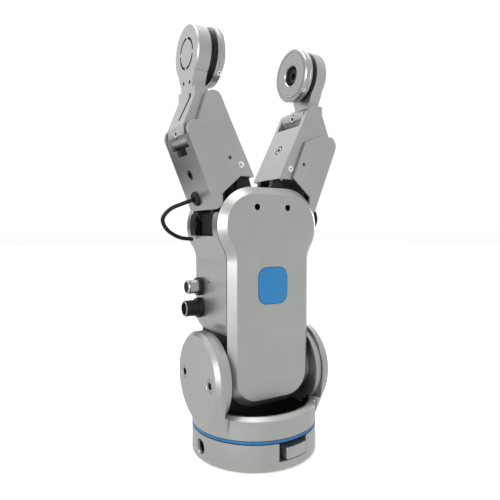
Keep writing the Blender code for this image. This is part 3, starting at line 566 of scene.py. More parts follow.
def ear_solid(side):
    """Disc-shaped ear that tapers down into the round base."""
    points = []
    for radius, x in ((EAR_FACE_RADIUS, EAR_OUTER), (EAR_RADIUS, EAR_OUTER - EAR_CHAMFER),
                      (EAR_RADIUS, EAR_INNER - 0.6)):
        points += [(side * x, u, v) for u, v in arc(*TILT_AXIS, radius, 0, 360, DISC_STEPS)[:-1]]
    for z in (BRACKET_LOW + 0.7, RIM_TOP - RIM_BEVEL):
        foot = arc(0, 0, BASE_RADIUS - 0.4, -EAR_FOOT_TURN, EAR_FOOT_TURN, 24)
        points += [(side * u, v, z) for u, v in foot]
    bm = bmesh.new()
    for point in points:
        bm.verts.new(point)
    hull = bmesh.ops.convex_hull(bm, input=bm.verts)
    bmesh.ops.delete(bm, geom=list(set(hull["geom_interior"] + hull["geom_unused"])), context="VERTS")
    return mesh_object("ear", bm)


def bracket():
    part = turned("tilt_bracket", "Z", [
        (0, SPIGOT_CEILING), (SPIGOT_BORE, SPIGOT_CEILING), (SPIGOT_BORE, SPIGOT_LOW),
        (SPIGOT_RADIUS, SPIGOT_LOW), (SPIGOT_RADIUS, BRACKET_LOW), (BASE_RADIUS, BRACKET_LOW),
        (BASE_RADIUS, RIM_TOP - RIM_BEVEL), (RIM_EDGE, RIM_TOP), (POCKET_RADIUS, RIM_TOP),
        (POCKET_RADIUS, BRACKET_FLOOR), (0, BRACKET_FLOOR)], steps=BASE_STEPS)
    fuse(part, ear_solid(-1), ear_solid(1))
    reach = math.degrees(math.acos(EAR_INNER / POCKET_RADIUS))
    outline = arc(0, 0, POCKET_RADIUS, reach, 180 - reach, 54)
    outline += arc(0, 0, POCKET_RADIUS, 180 + reach, 360 - reach, 54)
    cut(part, prism("pocket", "Z", outline, BRACKET_FLOOR, RIM_TOP + 5))
    cut(part, box("between_ears", (-EAR_INNER, -30, RIM_TOP), (EAR_INNER, 30, 70)))
    cut(part, rod("hub_seats", "X", TILT_AXIS, HUB_SEAT, -EAR_INNER, EAR_INNER, DISC_STEPS))
    for side, _ in HANDS:
        for end, _ in ENDS:
            profile = [(0, 25), (1.85, 25), (1.85, 30.7), (3.6, 32.45), (3.6, 34), (0, 34)]
            cut(part, turned("hole", "X", profile, (end * EAR_SCREW_Y, TILT_HEIGHT), 32, side))
    finish(part, "changer", "anodised", 0.3, "bracket")


def pocket_shade():
    """Near-black liner of painted shade on the pocket's floor and wall."""
    foot, floor, top = BRACKET_FLOOR - 0.05, BRACKET_FLOOR + 0.2, RIM_TOP - 0.6
    outer, inner = POCKET_RADIUS + 0.1, POCKET_RADIUS - 0.15
    profile = [(0, foot), (outer, foot), (outer, top), (inner, top), (inner, floor), (0, floor)]
    finish(turned("pocket_shade", "Z", profile, steps=BASE_STEPS), "changer", "shadow", 0)


def ear_hub(side, hand):
    """Stepped hub with a near-black sleeve of painted shade on its drum, between ear and body, and a raised
    rim.
    """
    profile = [(0, 17.3), (HUB_SPIGOT, 17.3), (HUB_SPIGOT, 20.4), (HUB_DRUM, 20.4), (HUB_DRUM, 23.6),
               (HUB_COLLAR, 23.6), (HUB_COLLAR, 25.0), (HUB_DRUM, 25.0), (HUB_DRUM, 25.8),
               (HUB_FLANGE, 25.8), (HUB_FLANGE, HUB_OUTER), (0, HUB_OUTER)]
    hub = turned(f"hub_{hand}", "X", profile, TILT_AXIS, DISC_STEPS, side)
    finish(hub, "changer", "anodised", 0.2, f"ear_hub_{hand}")
    sleeve = tube(f"hub_shade_sleeve_{hand}", "X", (12.0, 12.62), (20.5, 23.5), TILT_AXIS, 64, side)
    # the sleeve's near-black colour paints the shade between ear and body
    finish(sleeve, "changer", "anodised_dark", 0)
    rim = tube(f"hub_rim_{hand}", "X", (19.0, 21.0), (24.4, HUB_OUTER), TILT_AXIS, DISC_STEPS, side)
    cut(rim, box("below_rim", (-40, -30, 0), (40, 30, RIM_TOP + GAP)))
    finish(rim, "changer", "anodised", 0.5)


def ear_screws(side, hand):
    for end, name in ENDS:
        fit_screw(f"ear_bolt_{hand}_{name}", "changer", "X", (end * EAR_SCREW_Y, TILT_HEIGHT), 25.9, 32.25,
                  EAR_SCREW_RADIUS, side, replaces=f"ear_screw_{hand}_{name}")


# ---- body

def half_outline(offset):
    """Right half of the front elevation, from the top centre down."""
    end = math.radians(LOBE_TURN)
    neck_radius = (LOBE_X + LOBE_RADIUS * math.cos(end) - WAIST) / (1 - math.cos(end))
    neck_z = LOBE_Z - (LOBE_RADIUS + neck_radius) * math.sin(end)
    lobe = arc(LOBE_X, LOBE_Z, LOBE_RADIUS + offset, 90, -LOBE_TURN, 36)
    neck = arc(WAIST + neck_radius, neck_z, neck_radius - offset, 180 - LOBE_TURN, 180, 12)
    foot = arc(FOOT_X, FOOT_Z, FOOT_RADIUS + offset, 0, -90, 24)
    return lobe + neck[1:] + foot


def mirrored(half):
    return half + [(-x, z) for x, z in reversed(half)]


def upper_half(offset):
    return [point for point in half_outline(offset) if point[1] > MIDDLE_Z]


def badge_outline(margin):
    half_x, corner = BADGE_HALF + margin, BADGE_CORNER + margin
    low, high = BADGE_LOW - margin, BADGE_HIGH + margin
    outline = []
    for x, z, start in ((half_x, high, 0), (-half_x, high, 90), (-half_x, low, 180), (half_x, low, 270)):
        cx = x - math.copysign(corner, x)
        cz = z - math.copysign(corner, z - (low + high) / 2)
        outline += arc(cx, cz, corner, start, start + 90, 8)
    return outline


def inner_axle(side, hand):
    """Axle whose socketed end shows in the front cover's hole."""
    centre = (side * AXLE_X, AXLE_Z)
    profile = [(0, 17.2), (1.4, 17.2), (1.4, 14.3), (1.7, 14.0), (1.7, -16.7), (0, -16.7)]
    axle = turned(f"axle_{hand}", "Y", profile, centre, 32, -1)
    floor = -14.6
    cut(axle, prism("socket", "Y", hexagon(2.4, centre), -18, floor))
    # the well is a near-black plug of painted shade on the socket's floor
    well = prism(f"axle_well_{hand}", "Y", hexagon(2.3, centre), floor - 0.6, floor)
    finish(well, "gripper_body", "shadow", 0)
    finish(axle, "gripper_body", "dark_steel", 0.12, f"inner_axle_{hand}")


def front_cover():
    cover = loft("cover_front", "Y", [(mirrored(half_outline(0)), COVER_FRONT),
                                      (mirrored(half_outline(BEVEL - 0.5)), COVER_BACK - 0.5),
                                      (mirrored(half_outline(BEVEL)), COVER_BACK)])
    for side, hand in HANDS:
        profile = [(0, -18.5), (2.1, -18.5), (1.5, -17.3), (1.5, -13), (0, -13)]
        cut(cover, turned("sink", "Y", profile, (side * AXLE_X, AXLE_Z), 40))
        inner_axle(side, hand)
    cut(cover, prism("recess", "Y", badge_outline(0.15), -19, BADGE_FLOOR))
    finish(cover, "gripper_body", "anodised", 0.3, "front_cover", 20.0)
    badge = prism("inlay", "Y", badge_outline(0), COVER_FRONT - 0.15, BADGE_FLOOR - 0.05)
    finish(badge, "gripper_body", "blue_print", 0.12, "badge")


def frame_half(offset, low_half_width, foot_radius):
    """Right wall of the frame, from the lobe's open top down to the bottom."""
    top = math.degrees(math.asin((FRAME_TOP - LOBE_Z) / (LOBE_RADIUS + offset)))
    lobe = arc(LOBE_X, LOBE_Z, LOBE_RADIUS + offset, top, -LOBE_TURN, 22)
    neck = [point for point in upper_half(offset) if point[1] < lobe[-1][1] - 0.1]
    waist = WAIST + offset
    turn_in = [(waist, 66.5), (waist - 0.5, 63.8), (waist - 1.6, 61.6), (low_half_width, LOW_TOP)]
    bottom = FOOT_Z - FOOT_RADIUS - offset
    foot = arc(low_half_width - foot_radius, bottom + foot_radius, foot_radius, 0, -90, 18)
    return lobe + neck + turn_in + foot


def swing_clearance():
    """Everything below and behind the cylinder that the foot may fill as it tilts."""
    outline = arc(*TILT_AXIS, SWING_RADIUS, -5, -85, 48) + [(2.0, 5.0), (40.0, 5.0), (40.0, 37.2)]
    return prism("swing", "X", outline, -40, 40)


def frame_shell():
    outer = frame_half(BEVEL, LOW_HALF_WIDTH, FRAME_FOOT_RADIUS)
    inner = frame_half(BEVEL - WALL, LOW_HALF_WIDTH - WALL, FRAME_FOOT_RADIUS - WALL)
    wall = mirrored(outer) + [(-x, z) for x, z in inner] + list(reversed(inner))
    part = prism("body_frame", "Y", wall, FRAME_FRONT, FRAME_BACK)
    plate = [point for point in mirrored(half_outline(BEVEL)) if point[1] > 97.5]
    fuse(part, prism("rear_plate", "Y", plate, -COVER_BACK, FRAME_BACK))
    fuse(part, box("screw_bar", (-17.5, 14.0, 27.0), (17.5, FRAME_BACK, 40.5)))
    fuse(part, box("bulkhead", (-21.5, FRAME_FRONT, 96.0), (21.5, 17.0, 100.0)))
    cut(part, rod("seat", "Z", (0, 0), 4.4, 90, 105, 48))
    for side, _ in HANDS:
        near, far = span(side, 22.4, 31.0)
        cut(part, box("slot", (near, -SLOT_HALF, SLOT_LOW), (far, SLOT_HALF, 125)))
        cut(part, rod("bore", "X", TILT_AXIS, 6.0, side * 14.0, side * 22.0, 64))
    for _, z, _, _, bore, _ in CONNECTORS:
        cut(part, rod("connector_bore", "X", (CONNECTOR_Y, z), bore, -26, -18, 40))
    cut(part, rod("pilot", "X", (4.3, 84.5), 0.7, -25, -22), swing_clearance())
    finish(part, "gripper_body", "anodised", 0.25, "frame", 25.0)


def side_recess_shade(side, hand):
    """Near-black sheet of painted shade on the foot's side, where it turns between the ears."""
    near, far = span(side, LOW_HALF_WIDTH + 0.02, LOW_HALF_WIDTH + 0.17)
    plate = box(f"side_recess_shade_{hand}", (near, FRAME_FRONT + 0.2, 31.0),
                (far, FRAME_BACK - GAP, LOW_TOP - 0.2))
    cut(plate, rod("bore", "X", TILT_AXIS, 6.4, near - 1, far + 1, 64), swing_clearance())
    # black moulding here paints the shade in the recess between ear and body
    finish(plate, "gripper_body", "black_plastic", 0)


def back_outline(offset):
    narrower = BEVEL - offset
    lower = frame_half(offset, LOW_HALF_WIDTH - narrower, FRAME_FOOT_RADIUS - narrower)
    return mirrored(upper_half(offset) + [point for point in lower if point[1] < MIDDLE_Z])


def back_cover():
    cover = loft("cover_back", "Y", [(back_outline(BEVEL), FRAME_BACK + GAP),
                                     (back_outline(BEVEL - 1.4), BODY_BACK)])
    for number, spot in enumerate(COVER_SCREWS, 1):
        profile = [(0, 18), (1.6, 18), (1.6, 19.7), (2.9, 19.7), (2.9, 21), (0, 21)]
        cut(cover, turned("hole", "Y", profile, spot, 32))
        fit_screw(f"back_bolt_{number}", "gripper_body", "Y", spot, 17.2, 20.6, 2.5, 1, False,
                  "dark_steel", f"cover_screw_{number}")
    cut(cover, swing_clearance())
    finish(cover, "gripper_body", "anodised", 0.25, "back_cover", 25.0)


def bumper(side, hand):
    """Black stop in the side window, between two near-black sheets of painted shade on the slot's walls."""
    back, face, low = 23.0, 25.7, BUMPER_LOW + GAP
    outline = [(back, low), (face, low), (face, 118.2), (24.9, 119.0), (back, 119.0)]
    pad = prism(f"stop_{hand}", "Y", to_side(side, outline), -7.2, 7.2)
    finish(pad, "gripper_body", "rubber", 0.4, f"bumper_{hand}")
    for end, name in ENDS:
        x = span(side, 22.6, 27.7)
        y = span(end, 9.2, 9.35)
        # thin near-black sheets of painted shade on the slot's walls
        cheek = box(f"slot_wall_shade_{hand}_{name}", (x[0], y[0], 107.4), (x[1], y[1], 118.2))
        finish(cheek, "gripper_body", "shadow", 0)


def window_insert(side, hand):
    """The window's black insert behind the slot, which follows the lobe."""
    low, high = -14.5, 19.5
    outline = arc(LOBE_X, LOBE_Z, LOBE_RADIUS + BEVEL + 0.08, low, high, 16)
    outline += arc(LOBE_X, LOBE_Z, LOBE_RADIUS + BEVEL - 0.5, high, low, 16)
    insert = prism(f"window_insert_{hand}", "Y", to_side(side, outline), SLOT_HALF, 15.2)
    finish(insert, "gripper_body", "rubber", 0.05)


# ---- connectors

THREAD_PITCH = 0.8
THREAD_DEPTH = 0.25
PIN_CIRCLE = 1.5
PIN_RADIUS = 0.22


def barrel_profile(wall, radius, length):
    """Threaded barrel with a turned mouth; its tail passes through the body's wall."""
    barrel = radius - 0.6
    tail = radius - 1.0
    profile = [(0, CONNECTOR_TAIL), (tail, CONNECTOR_TAIL), (tail, wall + GAP), (barrel, wall + GAP)]
    ridge = wall + 2.6
    while ridge < wall + length - 1.4:
        root = barrel - THREAD_DEPTH
        profile += [(barrel, ridge), (root, ridge + 0.2), (root, ridge + 0.4), (barrel, ridge + 0.6)]
        ridge += THREAD_PITCH
    end = wall + length
    mouth = barrel - 0.9
    floor = wall + 3.0
    return profile + [(barrel, end - 0.3), (barrel - 0.3, end), (barrel - 0.7, end), (mouth, end - 0.2),
                      (mouth, floor), (0, floor)]


def connector_pins(name, at, end):
    for pin in range(5):
        spot = polar(*at, PIN_CIRCLE, 72 * pin + 20)
        contact = rod(f"{name}_pin_{pin}", "X", spot, PIN_RADIUS, -(end - 2.0), -(end - 1.1), 12)
        finish(contact, "gripper_body", "gold", 0.08)


def connector(name, node, z, radius, length, look):
    """Round panel connector: twelve-sided flange, threaded barrel, black insert and pins."""
    wall = WAIST + BEVEL
    end = wall + length
    at = (CONNECTOR_Y, z)
    flange = tube(f"{name}_flange", "X", (radius - 1.5, radius + 0.5), (wall + GAP, wall + 2.4), at, 12, -1)
    finish(flange, "gripper_body", "dark_steel", 0.2)
    barrel = turned(f"{name}_barrel", "X", barrel_profile(wall, radius, length), at, 48, -1)
    finish(barrel, "gripper_body", look, 0, node)
    bore = radius - 1.5
    lip = turned(f"{name}_lip", "X", [(bore, end - 0.3), (bore + 0.6, end - 0.3), (bore + 0.5, end + 0.1),
                                      (bore, end + 0.1)], at, 40, -1)
    finish(lip, "gripper_body", "chrome", 0)
    insert = rod(f"{name}_insert", "X", at, bore - 0.1, -(wall + 3.1), -(end - 1.6), 40)
    finish(insert, "gripper_body", "black_plastic", 0.15)
    connector_pins(name, at, end)


# ---- arms

def link_point(side, base, along, outward=0.0):
    """World X and Z of a point that lies along and outward from a link's base."""
    x = base[0] + along * math.sin(LEAN) + outward * math.cos(LEAN)
    z = base[1] + along * math.cos(LEAN) - outward * math.sin(LEAN)
    return (side * x, z)


def link_plate(name, side, base, outline, low, high):
    """Plate across Y whose outline is given as (along, outward) on a link."""
    points = [link_point(side, base, along, outward) for along, outward in outline]
    return prism(name, "Y", points, low, high)


def on_link(made, side, base, along, y):
    """Move a piece turned about X onto a link's outward face."""
    x, z = link_point(1, base, along)
    move = Matrix.Translation(Vector((x, y, z)) * MM) @ Matrix.Rotation(LEAN, 4, "Y")
    if side < 0:
        move = Matrix.Scale(-1, 4, (1, 0, 0)) @ move
    made.data.transform(move)
    if side < 0:
        made.data.flip_normals()
    return made


def foot_plate(name, side, base, outline, near, far):
    """Plate with the axle's bore, at the foot of a link."""
    plate = link_plate(name, side, base, outline, near, far)
    bore = rod("axle_bore", "Y", link_point(side, base, 0), PIN_BORE, -10, 10, 32)
    return cut(plate, bore)


def inner_link(side, hand):
    """Channel of two cheeks and a web on two knuckles painted near-black as shade."""
    body = f"inner_arm_{hand}"
    web = [(13.0, -7.0), (42.0, -4.9), (44.0, -4.75), (44.0, -2.8), (13.0, -4.6)]
    cheek = web[:2] + arc(LINK_LENGTH, 0, 4.4, -80, 45, 18) + [(46.2, 10.7)]
    cheek += arc(LINK_LENGTH, 0, 14.9, 131, 160, 16) + [(36.0, 5.0), (18.2, 5.0), (16.5, 2.0)]
    hub = [(20.0, -3.2), (20.0, -6.4), (13.0, -7.0), (6.0, -6.5)] + arc(0, 0, 6.3, -90, -300, 28)
    reach = INNER_CHEEK - WEB_INSET
    link = link_plate(f"arm_inner_{hand}", side, INNER_BASE, web, -reach, reach)
    for end, _ in ENDS:
        fuse(link, link_plate("cheek", side, INNER_BASE, cheek, *span(end, INNER_CHEEK_IN, INNER_CHEEK)))
        knuckle = foot_plate(f"knuckle_{hand}_{end + 1}", side, INNER_BASE, hub, *span(end, HUB_IN, HUB_OUT))
        # the knuckles' near-black colour paints the shade that falls between arm and body
        finish(knuckle, body, "anodised_dark", 0.25)
    screw_seat = rod("seat", "X", (0, 0), 2.6, -9, -4.0, 32)
    cut(link, on_link(screw_seat, side, INNER_BASE, INNER_SCREW_AT, 0))
    finish(link, body, "anodised", 0.3, f"inner_link_{hand}", 25.0)
    fit_screw(f"arm_screw_{hand}", body, "X", (0, 0), 3.5, 5.6, 2.0, -1, False, "chrome",
              link=(side, INNER_BASE, INNER_SCREW_AT, 0))
    for end, name in ENDS:
        ring = tube(f"rivet_{hand}_{name}", "Y", (0.75, 1.5), (11.9, INNER_CHEEK + 0.07),
                    (side * RIVET_X, RIVET_Z), 32, end)
        # the pale ring paints the highlight on the rivet's rim
        finish(ring, body, "pale_rim", 0.04)


def outer_link(side, hand):
    """Channel of two plates and an outer web on two tongues painted near-black as shade."""
    body = f"outer_arm_{hand}"
    plate = [(16.6, 0.9), (16.6, 4.9)] + arc(LINK_LENGTH, 0, 4.9, 90, 0, 18)
    plate += [(54.6, -5.9), (46.8, -14.1), (26.6, -14.1), (22.1, -0.9)]
    web = [(16.6, 3.1), (16.6, 4.9), (52.0, 4.9), (52.0, 3.1)]
    lug = arc(0, 0, 3.4, 70, 250, 24)
    lug += [(20.0, -2.0), (30.0, 1.5), (30.0, 3.6), (14.0, 4.9), (12.5, 4.6), (9.5, 2.9), (6.5, 1.6)]
    reach = OUTER_CHEEK - WEB_INSET
    link = link_plate(f"arm_outer_{hand}", side, OUTER_BASE, web, -reach, reach)
    for name, low, high, half in (("notch", 46.4, 60.0, INNER_CHEEK_IN), ("slot", 43.2, 50.0, 5.5)):
        opening = [(low, 2.0), (low, 6.0), (high, 6.0), (high, 2.0)]
        cut(link, link_plate(name, side, OUTER_BASE, opening, -half, half))
    for end, _ in ENDS:
        fuse(link, link_plate("plate", side, OUTER_BASE, plate, *span(end, OUTER_CHEEK_IN, OUTER_CHEEK)))
        tongue = foot_plate(f"tongue_{hand}_{end + 1}", side, OUTER_BASE, lug, *span(end, LUG_IN, LUG_OUT))
        # the tongues' near-black colour paints the shade that falls between arm and body
        finish(tongue, body, "anodised_dark", 0.2)
    cut(link, rod("hole", "Y", link_point(side, OUTER_BASE, 35.8, -10.8), 0.9, -15, 15))
    bore = rod("grommet_bore", "X", (0, 0), 2.6, 2.0, 6.0, 32)
    cut(link, on_link(bore, side, OUTER_BASE, GROMMET_AT, GROMMET_Y))
    seat = rod("seat", "X", (0, 0), 2.4, 3.5, 6.0, 32)
    cut(link, on_link(seat, side, OUTER_BASE, OUTER_SCREW_AT, 0))
    finish(link, body, "anodised", 0.3, f"outer_link_{hand}", 25.0)
    fit_screw(f"web_screw_{hand}", body, "X", (0, 0), 3.2, 4.75, 1.9, 1, False, "chrome",
              link=(side, OUTER_BASE, OUTER_SCREW_AT, 0))


def grommet(side, hand):
    profile = [(1.3, 2.8), (2.3, 2.8), (2.3, 5.1), (3.5, 5.1), (3.6, 5.5), (3.0, 6.4), (2.0, 6.7), (1.3, 6.6)]
    sleeve = turned(f"sleeve_{hand}", "X", profile, (0, 0), 40)
    on_link(sleeve, side, OUTER_BASE, GROMMET_AT, GROMMET_Y)
    finish(sleeve, f"outer_arm_{hand}", "rubber", 0, f"grommet_{hand}", 60.0)


# ---- fingertips

INNER_PIN = link_point(1, INNER_BASE, LINK_LENGTH)
OUTER_PIN = link_point(1, OUTER_BASE, LINK_LENGTH)
# the clamp screws of the inner pins face inward, and those of the outer pins outward
PINS = (("upper", "inner_clamp", *INNER_PIN, -1), ("lower", "outer_clamp", *OUTER_PIN, 1))


def finger_blank(side, hand):
    """Round paddle, its neck and the foot that holds both pins."""
    profile = [(0, PADDLE_INNER), (PADDLE_RADIUS, PADDLE_INNER), (PADDLE_RADIUS, TIP_OUTER - PADDLE_EDGE),
               (PADDLE_RADIUS - PADDLE_EDGE, TIP_OUTER), (0, TIP_OUTER)]
    paddle = turned(f"tip_{hand}", "X", profile, TIP_AXIS, DISC_STEPS, side)
    neck = [(-9.5, 185), (-8.6, 181.5), (-7.0, 178.5), (-6.2, 176.8), (-6.0, 175.5), (-6.0, 170.5)]
    neck += [(-y, z) for y, z in reversed(neck)]
    fuse(paddle, prism("neck", "X", neck, *span(side, PADDLE_INNER, TIP_OUTER)))
    inner_x, inner_z = INNER_PIN
    outer_x, outer_z = OUTER_PIN
    foot = [(PADDLE_INNER, FOOT_TOP), (PADDLE_INNER, inner_z + 4.4)] + arc(inner_x, inner_z, 4.6, 85, 215, 20)
    foot += arc(outer_x, outer_z, 4.7, 215, 345, 20)
    foot += [(outer_x + 4.9, outer_z + 3.0), (TIP_OUTER, 170.8), (TIP_OUTER, FOOT_TOP)]
    return fuse(paddle, prism("foot", "Y", to_side(side, foot), -FOOT_HALF, FOOT_HALF))


def lean_slit(made):
    """Lean a slit's piece to the front the higher it is above SLIT_CENTRED_Z."""
    lean = Matrix.Identity(4)
    lean[1][2] = -SLIT_SLOPE
    lean[1][3] = SLIT_SLOPE * SLIT_CENTRED_Z * MM
    made.data.transform(lean)
    return made


def cut_slit(paddle, side, hand):
    """Leaning slit in the foot's outer face, with a near-black floor of painted shade."""
    low, high = OUTER_PIN[0] + 0.5, TIP_OUTER - 1.6
    slit = [(low, SLIT_LOW), (low + 7.5, SLIT_LOW), (TIP_OUTER + 3.0, SLIT_HIGH), (high, SLIT_HIGH)]
    cut(paddle, lean_slit(prism("slit", "Y", to_side(side, slit), -SLIT_HALF, SLIT_HALF)))
    foot, top, half = SLIT_LOW + 0.2, SLIT_HIGH - 0.2, SLIT_HALF - 0.05
    wedge = [(low + 0.1, foot), (low + 0.8, foot), (high + 0.7, top), (high + 0.05, top)]
    floor = lean_slit(prism(f"slit_floor_{hand}", "Y", to_side(side, wedge), -half, half))
    finish(floor, f"fingertip_{hand}", "shadow", 0)


def cut_pinholes(paddle, side, hand):
    for number, spot in enumerate(PINHOLES, 1):
        hole = span(side, TIP_OUTER - 0.8, TIP_OUTER + 1)
        cut(paddle, rod("pinhole", "X", spot, PINHOLE_RADIUS, *hole, 16))
        # a near-black disc of painted shade lines each pinhole's floor
        fill = span(side, TIP_OUTER - 0.78, TIP_OUTER - 0.3)
        floor = rod(f"pinhole_{hand}_{number}", "X", spot, PINHOLE_RADIUS - 0.03, *fill, 16)
        finish(floor, f"fingertip_{hand}", "shadow", 0)


def cut_marks(paddle, side, hand):
    """Ring of four engraved arcs, lined with near-black painted shade."""
    outer, inner = MARK_RADII
    for number in range(4):
        start = MARK_START + 90 * number
        end = start + MARK_SWEEP
        band = arc(*TIP_AXIS, outer, start, end, 16) + arc(*TIP_AXIS, inner, end, start, 16)
        cut(paddle, prism("mark", "X", band, *span(side, TIP_OUTER - 0.35, TIP_OUTER + 1)))
        groove_shade = prism(f"mark_{hand}_{number + 1}", "X", band, *span(side, TIP_OUTER - 0.4, TIP_OUTER - 0.15))
        finish(groove_shade, f"fingertip_{hand}", "shadow", 0)


def finger(side, hand):
    body = f"fingertip_{hand}"
    paddle = finger_blank(side, hand)
    for _, _, x, z, facing in PINS:
        cut(paddle, rod("bore", "Y", (side * x, z), PIN_BORE, -12, 12, 32))
        near, far = side * (x + facing * 3.0), side * (x + facing * 9.0)
        cut(paddle, rod("seat", "X", (0, z), CLAMP_RADIUS + 0.1, near, far, 32))
    cut_slit(paddle, side, hand)
    cut_pinholes(paddle, side, hand)
    cut_marks(paddle, side, hand)
    finish(paddle, body, "anodised", 0.25, f"finger_{hand}", 25.0)
    for label, node, x, z, facing in PINS:
        head = x * facing + 4.6
        fit_screw(f"clamp_{label}_{hand}", body, "X", (0, z), head - 2.0, head, CLAMP_RADIUS,
                  side * facing, False, "chrome", f"{node}_{hand}")


def sensor_ring(side, hand):
    """Black disc behind the pad, with a groove in its rim."""
    back, front = PAD_BACK + GAP, PADDLE_INNER - GAP
    groove = SENSOR_RADIUS - SENSOR_GROOVE
    profile = [(0, back), (SENSOR_RADIUS, back), (SENSOR_RADIUS, 28.4), (groove, 28.5), (groove, 28.8),
               (SENSOR_RADIUS, 28.9), (SENSOR_RADIUS, front), (0, front)]
    ring = turned(f"sensor_{hand}", "X", profile, TIP_AXIS, DISC_STEPS, side)
    finish(ring, f"fingertip_{hand}", "black_plastic", 0, f"sensor_ring_{hand}")


def grub_screw(pad, side, hand, name, angle):
    """Grub screw in the pad's rim, at an angle about the pad's axis."""
    turn = Matrix.Translation(Vector((side * GRUB_X, 0, TIP_Z)) * MM)
    turn = turn @ Matrix.Rotation(math.radians(angle), 4, "X")
    floor = -12.4
    hole = rod("hole", "Y", (0, 0), 1.15, -14.5, -11.0)
    grub = rod(f"grub_{name}_{hand}", "Y", (0, 0), 1.1, -13.3, -11.4)
    cut(grub, prism("socket", "Y", hexagon(1.05), -14, floor))
    # the well is a near-black plug of painted shade on the socket's floor
    well = prism(f"grub_well_{name}_{hand}", "Y", hexagon(1.0), floor - 0.35, floor)
    for piece in (hole, grub, well):
        piece.data.transform(turn)
    cut(pad, hole)
    # the pale colour paints a highlight onto the grub screw
    finish(grub, f"fingertip_{hand}", "pale_rim", 0.06)
    finish(well, f"fingertip_{hand}", "shadow", 0)


def grip_pad(side, hand):
    body = f"fingertip_{hand}"
    waist = PAD_RADIUS - 0.3
    groove = PAD_FACE + 0.25
    profile = [(PAD_BORE, PAD_FACE + 0.5), (PAD_BORE + 0.5, PAD_FACE), (11.4, PAD_FACE), (11.5, groove),
               (11.9, groove), (12.0, PAD_FACE), (PAD_RADIUS - 0.6, PAD_FACE), (PAD_RADIUS, PAD_FACE + 0.6),
               (PAD_RADIUS, 25.3), (waist, 25.5), (waist, 25.7), (PAD_RADIUS, 25.9),
               (PAD_RADIUS, PAD_BACK), (PAD_BORE, PAD_BACK)]
    pad = turned(f"contact_pad_{hand}", "X", profile, TIP_AXIS, DISC_STEPS, side)
    for name, angle in GRUB_ANGLES:
        grub_screw(pad, side, hand, name, angle)
    finish(pad, body, "machined", 0, f"pad_{hand}", 30.0)
    fit_screw(f"pad_bolt_{hand}", body, "X", TIP_AXIS, -26.9, -24.6, 3.4, -side, False,
              "dark_steel", f"pad_screw_{hand}")


# ---- cables

CABLE_RADIUS = 0.95
CABLE_SIDES = 16
ROUTE_SAMPLES = 10
ROUTES = {
    "left": [(-28.6, *CABLE_EXIT), (-36.0, 11.2, 106.6), (-43.0, 9.0, 110.2), (-46.2, 6.6, 115.2),
             (-43.4, 4.4, 119.8), (-37.6, 2.8, 122.6), (-32.9, 2.0, 124.4)],
    "right": [(28.6, *CABLE_EXIT), (34.9, 11.2, 106.4), (41.7, 9.2, 109.0), (45.4, 6.8, 114.0),
              (43.3, 4.4, 119.4), (38.0, 2.7, 122.7), (32.9, 2.0, 124.4)],
}


def smooth_route(points):
    """Catmull-Rom samples through the route's points."""
    ends = [2 * points[0] - points[1]] + points + [2 * points[-1] - points[-2]]
    route = []
    for i in range(1, len(ends) - 2):
        p0, p1, p2, p3 = ends[i - 1], ends[i], ends[i + 1], ends[i + 2]
        for k in range(ROUTE_SAMPLES):
            s = k / ROUTE_SAMPLES
            route.append(0.5 * (2 * p1 + (p2 - p0) * s + (2 * p0 - 5 * p1 + 4 * p2 - p3) * s * s
                                + (3 * p1 - 3 * p2 + p3 - p0) * s ** 3))
    route.append(points[-1])
    return route


def cable_mesh(name, route):
    """Round tube along the route, with filled ends."""
    rings = []
    normal = Vector((0, 1, 0))
    for i, point in enumerate(route):
        ahead = (route[min(i + 1, len(route) - 1)] - route[max(i - 1, 0)]).normalized()
        normal = (normal - ahead * normal.dot(ahead)).normalized()
        across = ahead.cross(normal)
        ring = []
        for k in range(CABLE_SIDES):
            angle = 2 * math.pi * k / CABLE_SIDES
            outward = normal * math.cos(angle) + across * math.sin(angle)
            ring.append(point + outward * CABLE_RADIUS)
        rings.append(ring)
    return skin(name, rings)


def cable(hand):
    route = smooth_route([Vector(point) for point in ROUTES[hand]])
    lead = cable_mesh(f"lead_{hand}", route)
    lead.data.materials.append(LOOKS["rubber"])
    lead.data.shade_smooth()
    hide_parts(f"sensor_cable_{hand}")
    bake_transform(lead)


# ---- CAD pieces that stay

KEPT = {
    "contact_block": "black_plastic", "contact_plate": "black_plastic", "release_spring": "steel",
    "motor": "motor_case", "gearbox": "steel", "worm": "steel", "worm_bearing": "steel",
    "control_board": "circuit_board",
}
for _, hand in HANDS:
    KEPT[f"worm_wheel_{hand}"] = "bronze"
    for pin in ("outer_axle", "inner_pin", "outer_pin"):
        KEPT[f"{pin}_{hand}"] = "steel"


def paint_kept(frame):
    for node, look in KEPT.items():
        piece = frame["nodes"][node]
        piece.data.materials.clear()
        piece.data.materials.append(LOOKS[look])


# ---- studio, in metres

WHITE = (1.0, 1.0, 1.0, 1.0)
FLOOR_SIZE = 8
FLOOR_GLOW = 0.22
CARD_AT = (-0.09, 0.145, 0.125)
CARD_SIZE = (0.11, 0.062)
CARD_TURN = 22
BRIGHT_SIDE = (0.52, 0.85, 0.1)
BRIGHT_RANGE = (-0.9, 0.7)
BRIGHT_LEVELS = (0.6, 1.02)
HORIZON = (-0.2, 0.05)
LOW_LEVEL = 0.78
# name, place, what it looks at, size, power
LAMPS = (("top", (-0.15, 0.05, 0.75), (0, 0, 0.1), 0.6, 3.2),
         ("left", (-0.75, -0.42, 0.25), (0, 0, 0.12), 0.35, 2.6),
         ("right_back", (0.6, 0.45, 0.35), (0, 0, 0.12), 0.5, 2.0))
CAMERA_AT = (-0.12672, -0.20434, 0.10935)
CAMERA_TURN = (87.86, 0.0, -31.46)
CAMERA_LENS = 33.98
CAMERA_SHIFT = (-0.0018, -0.0014)


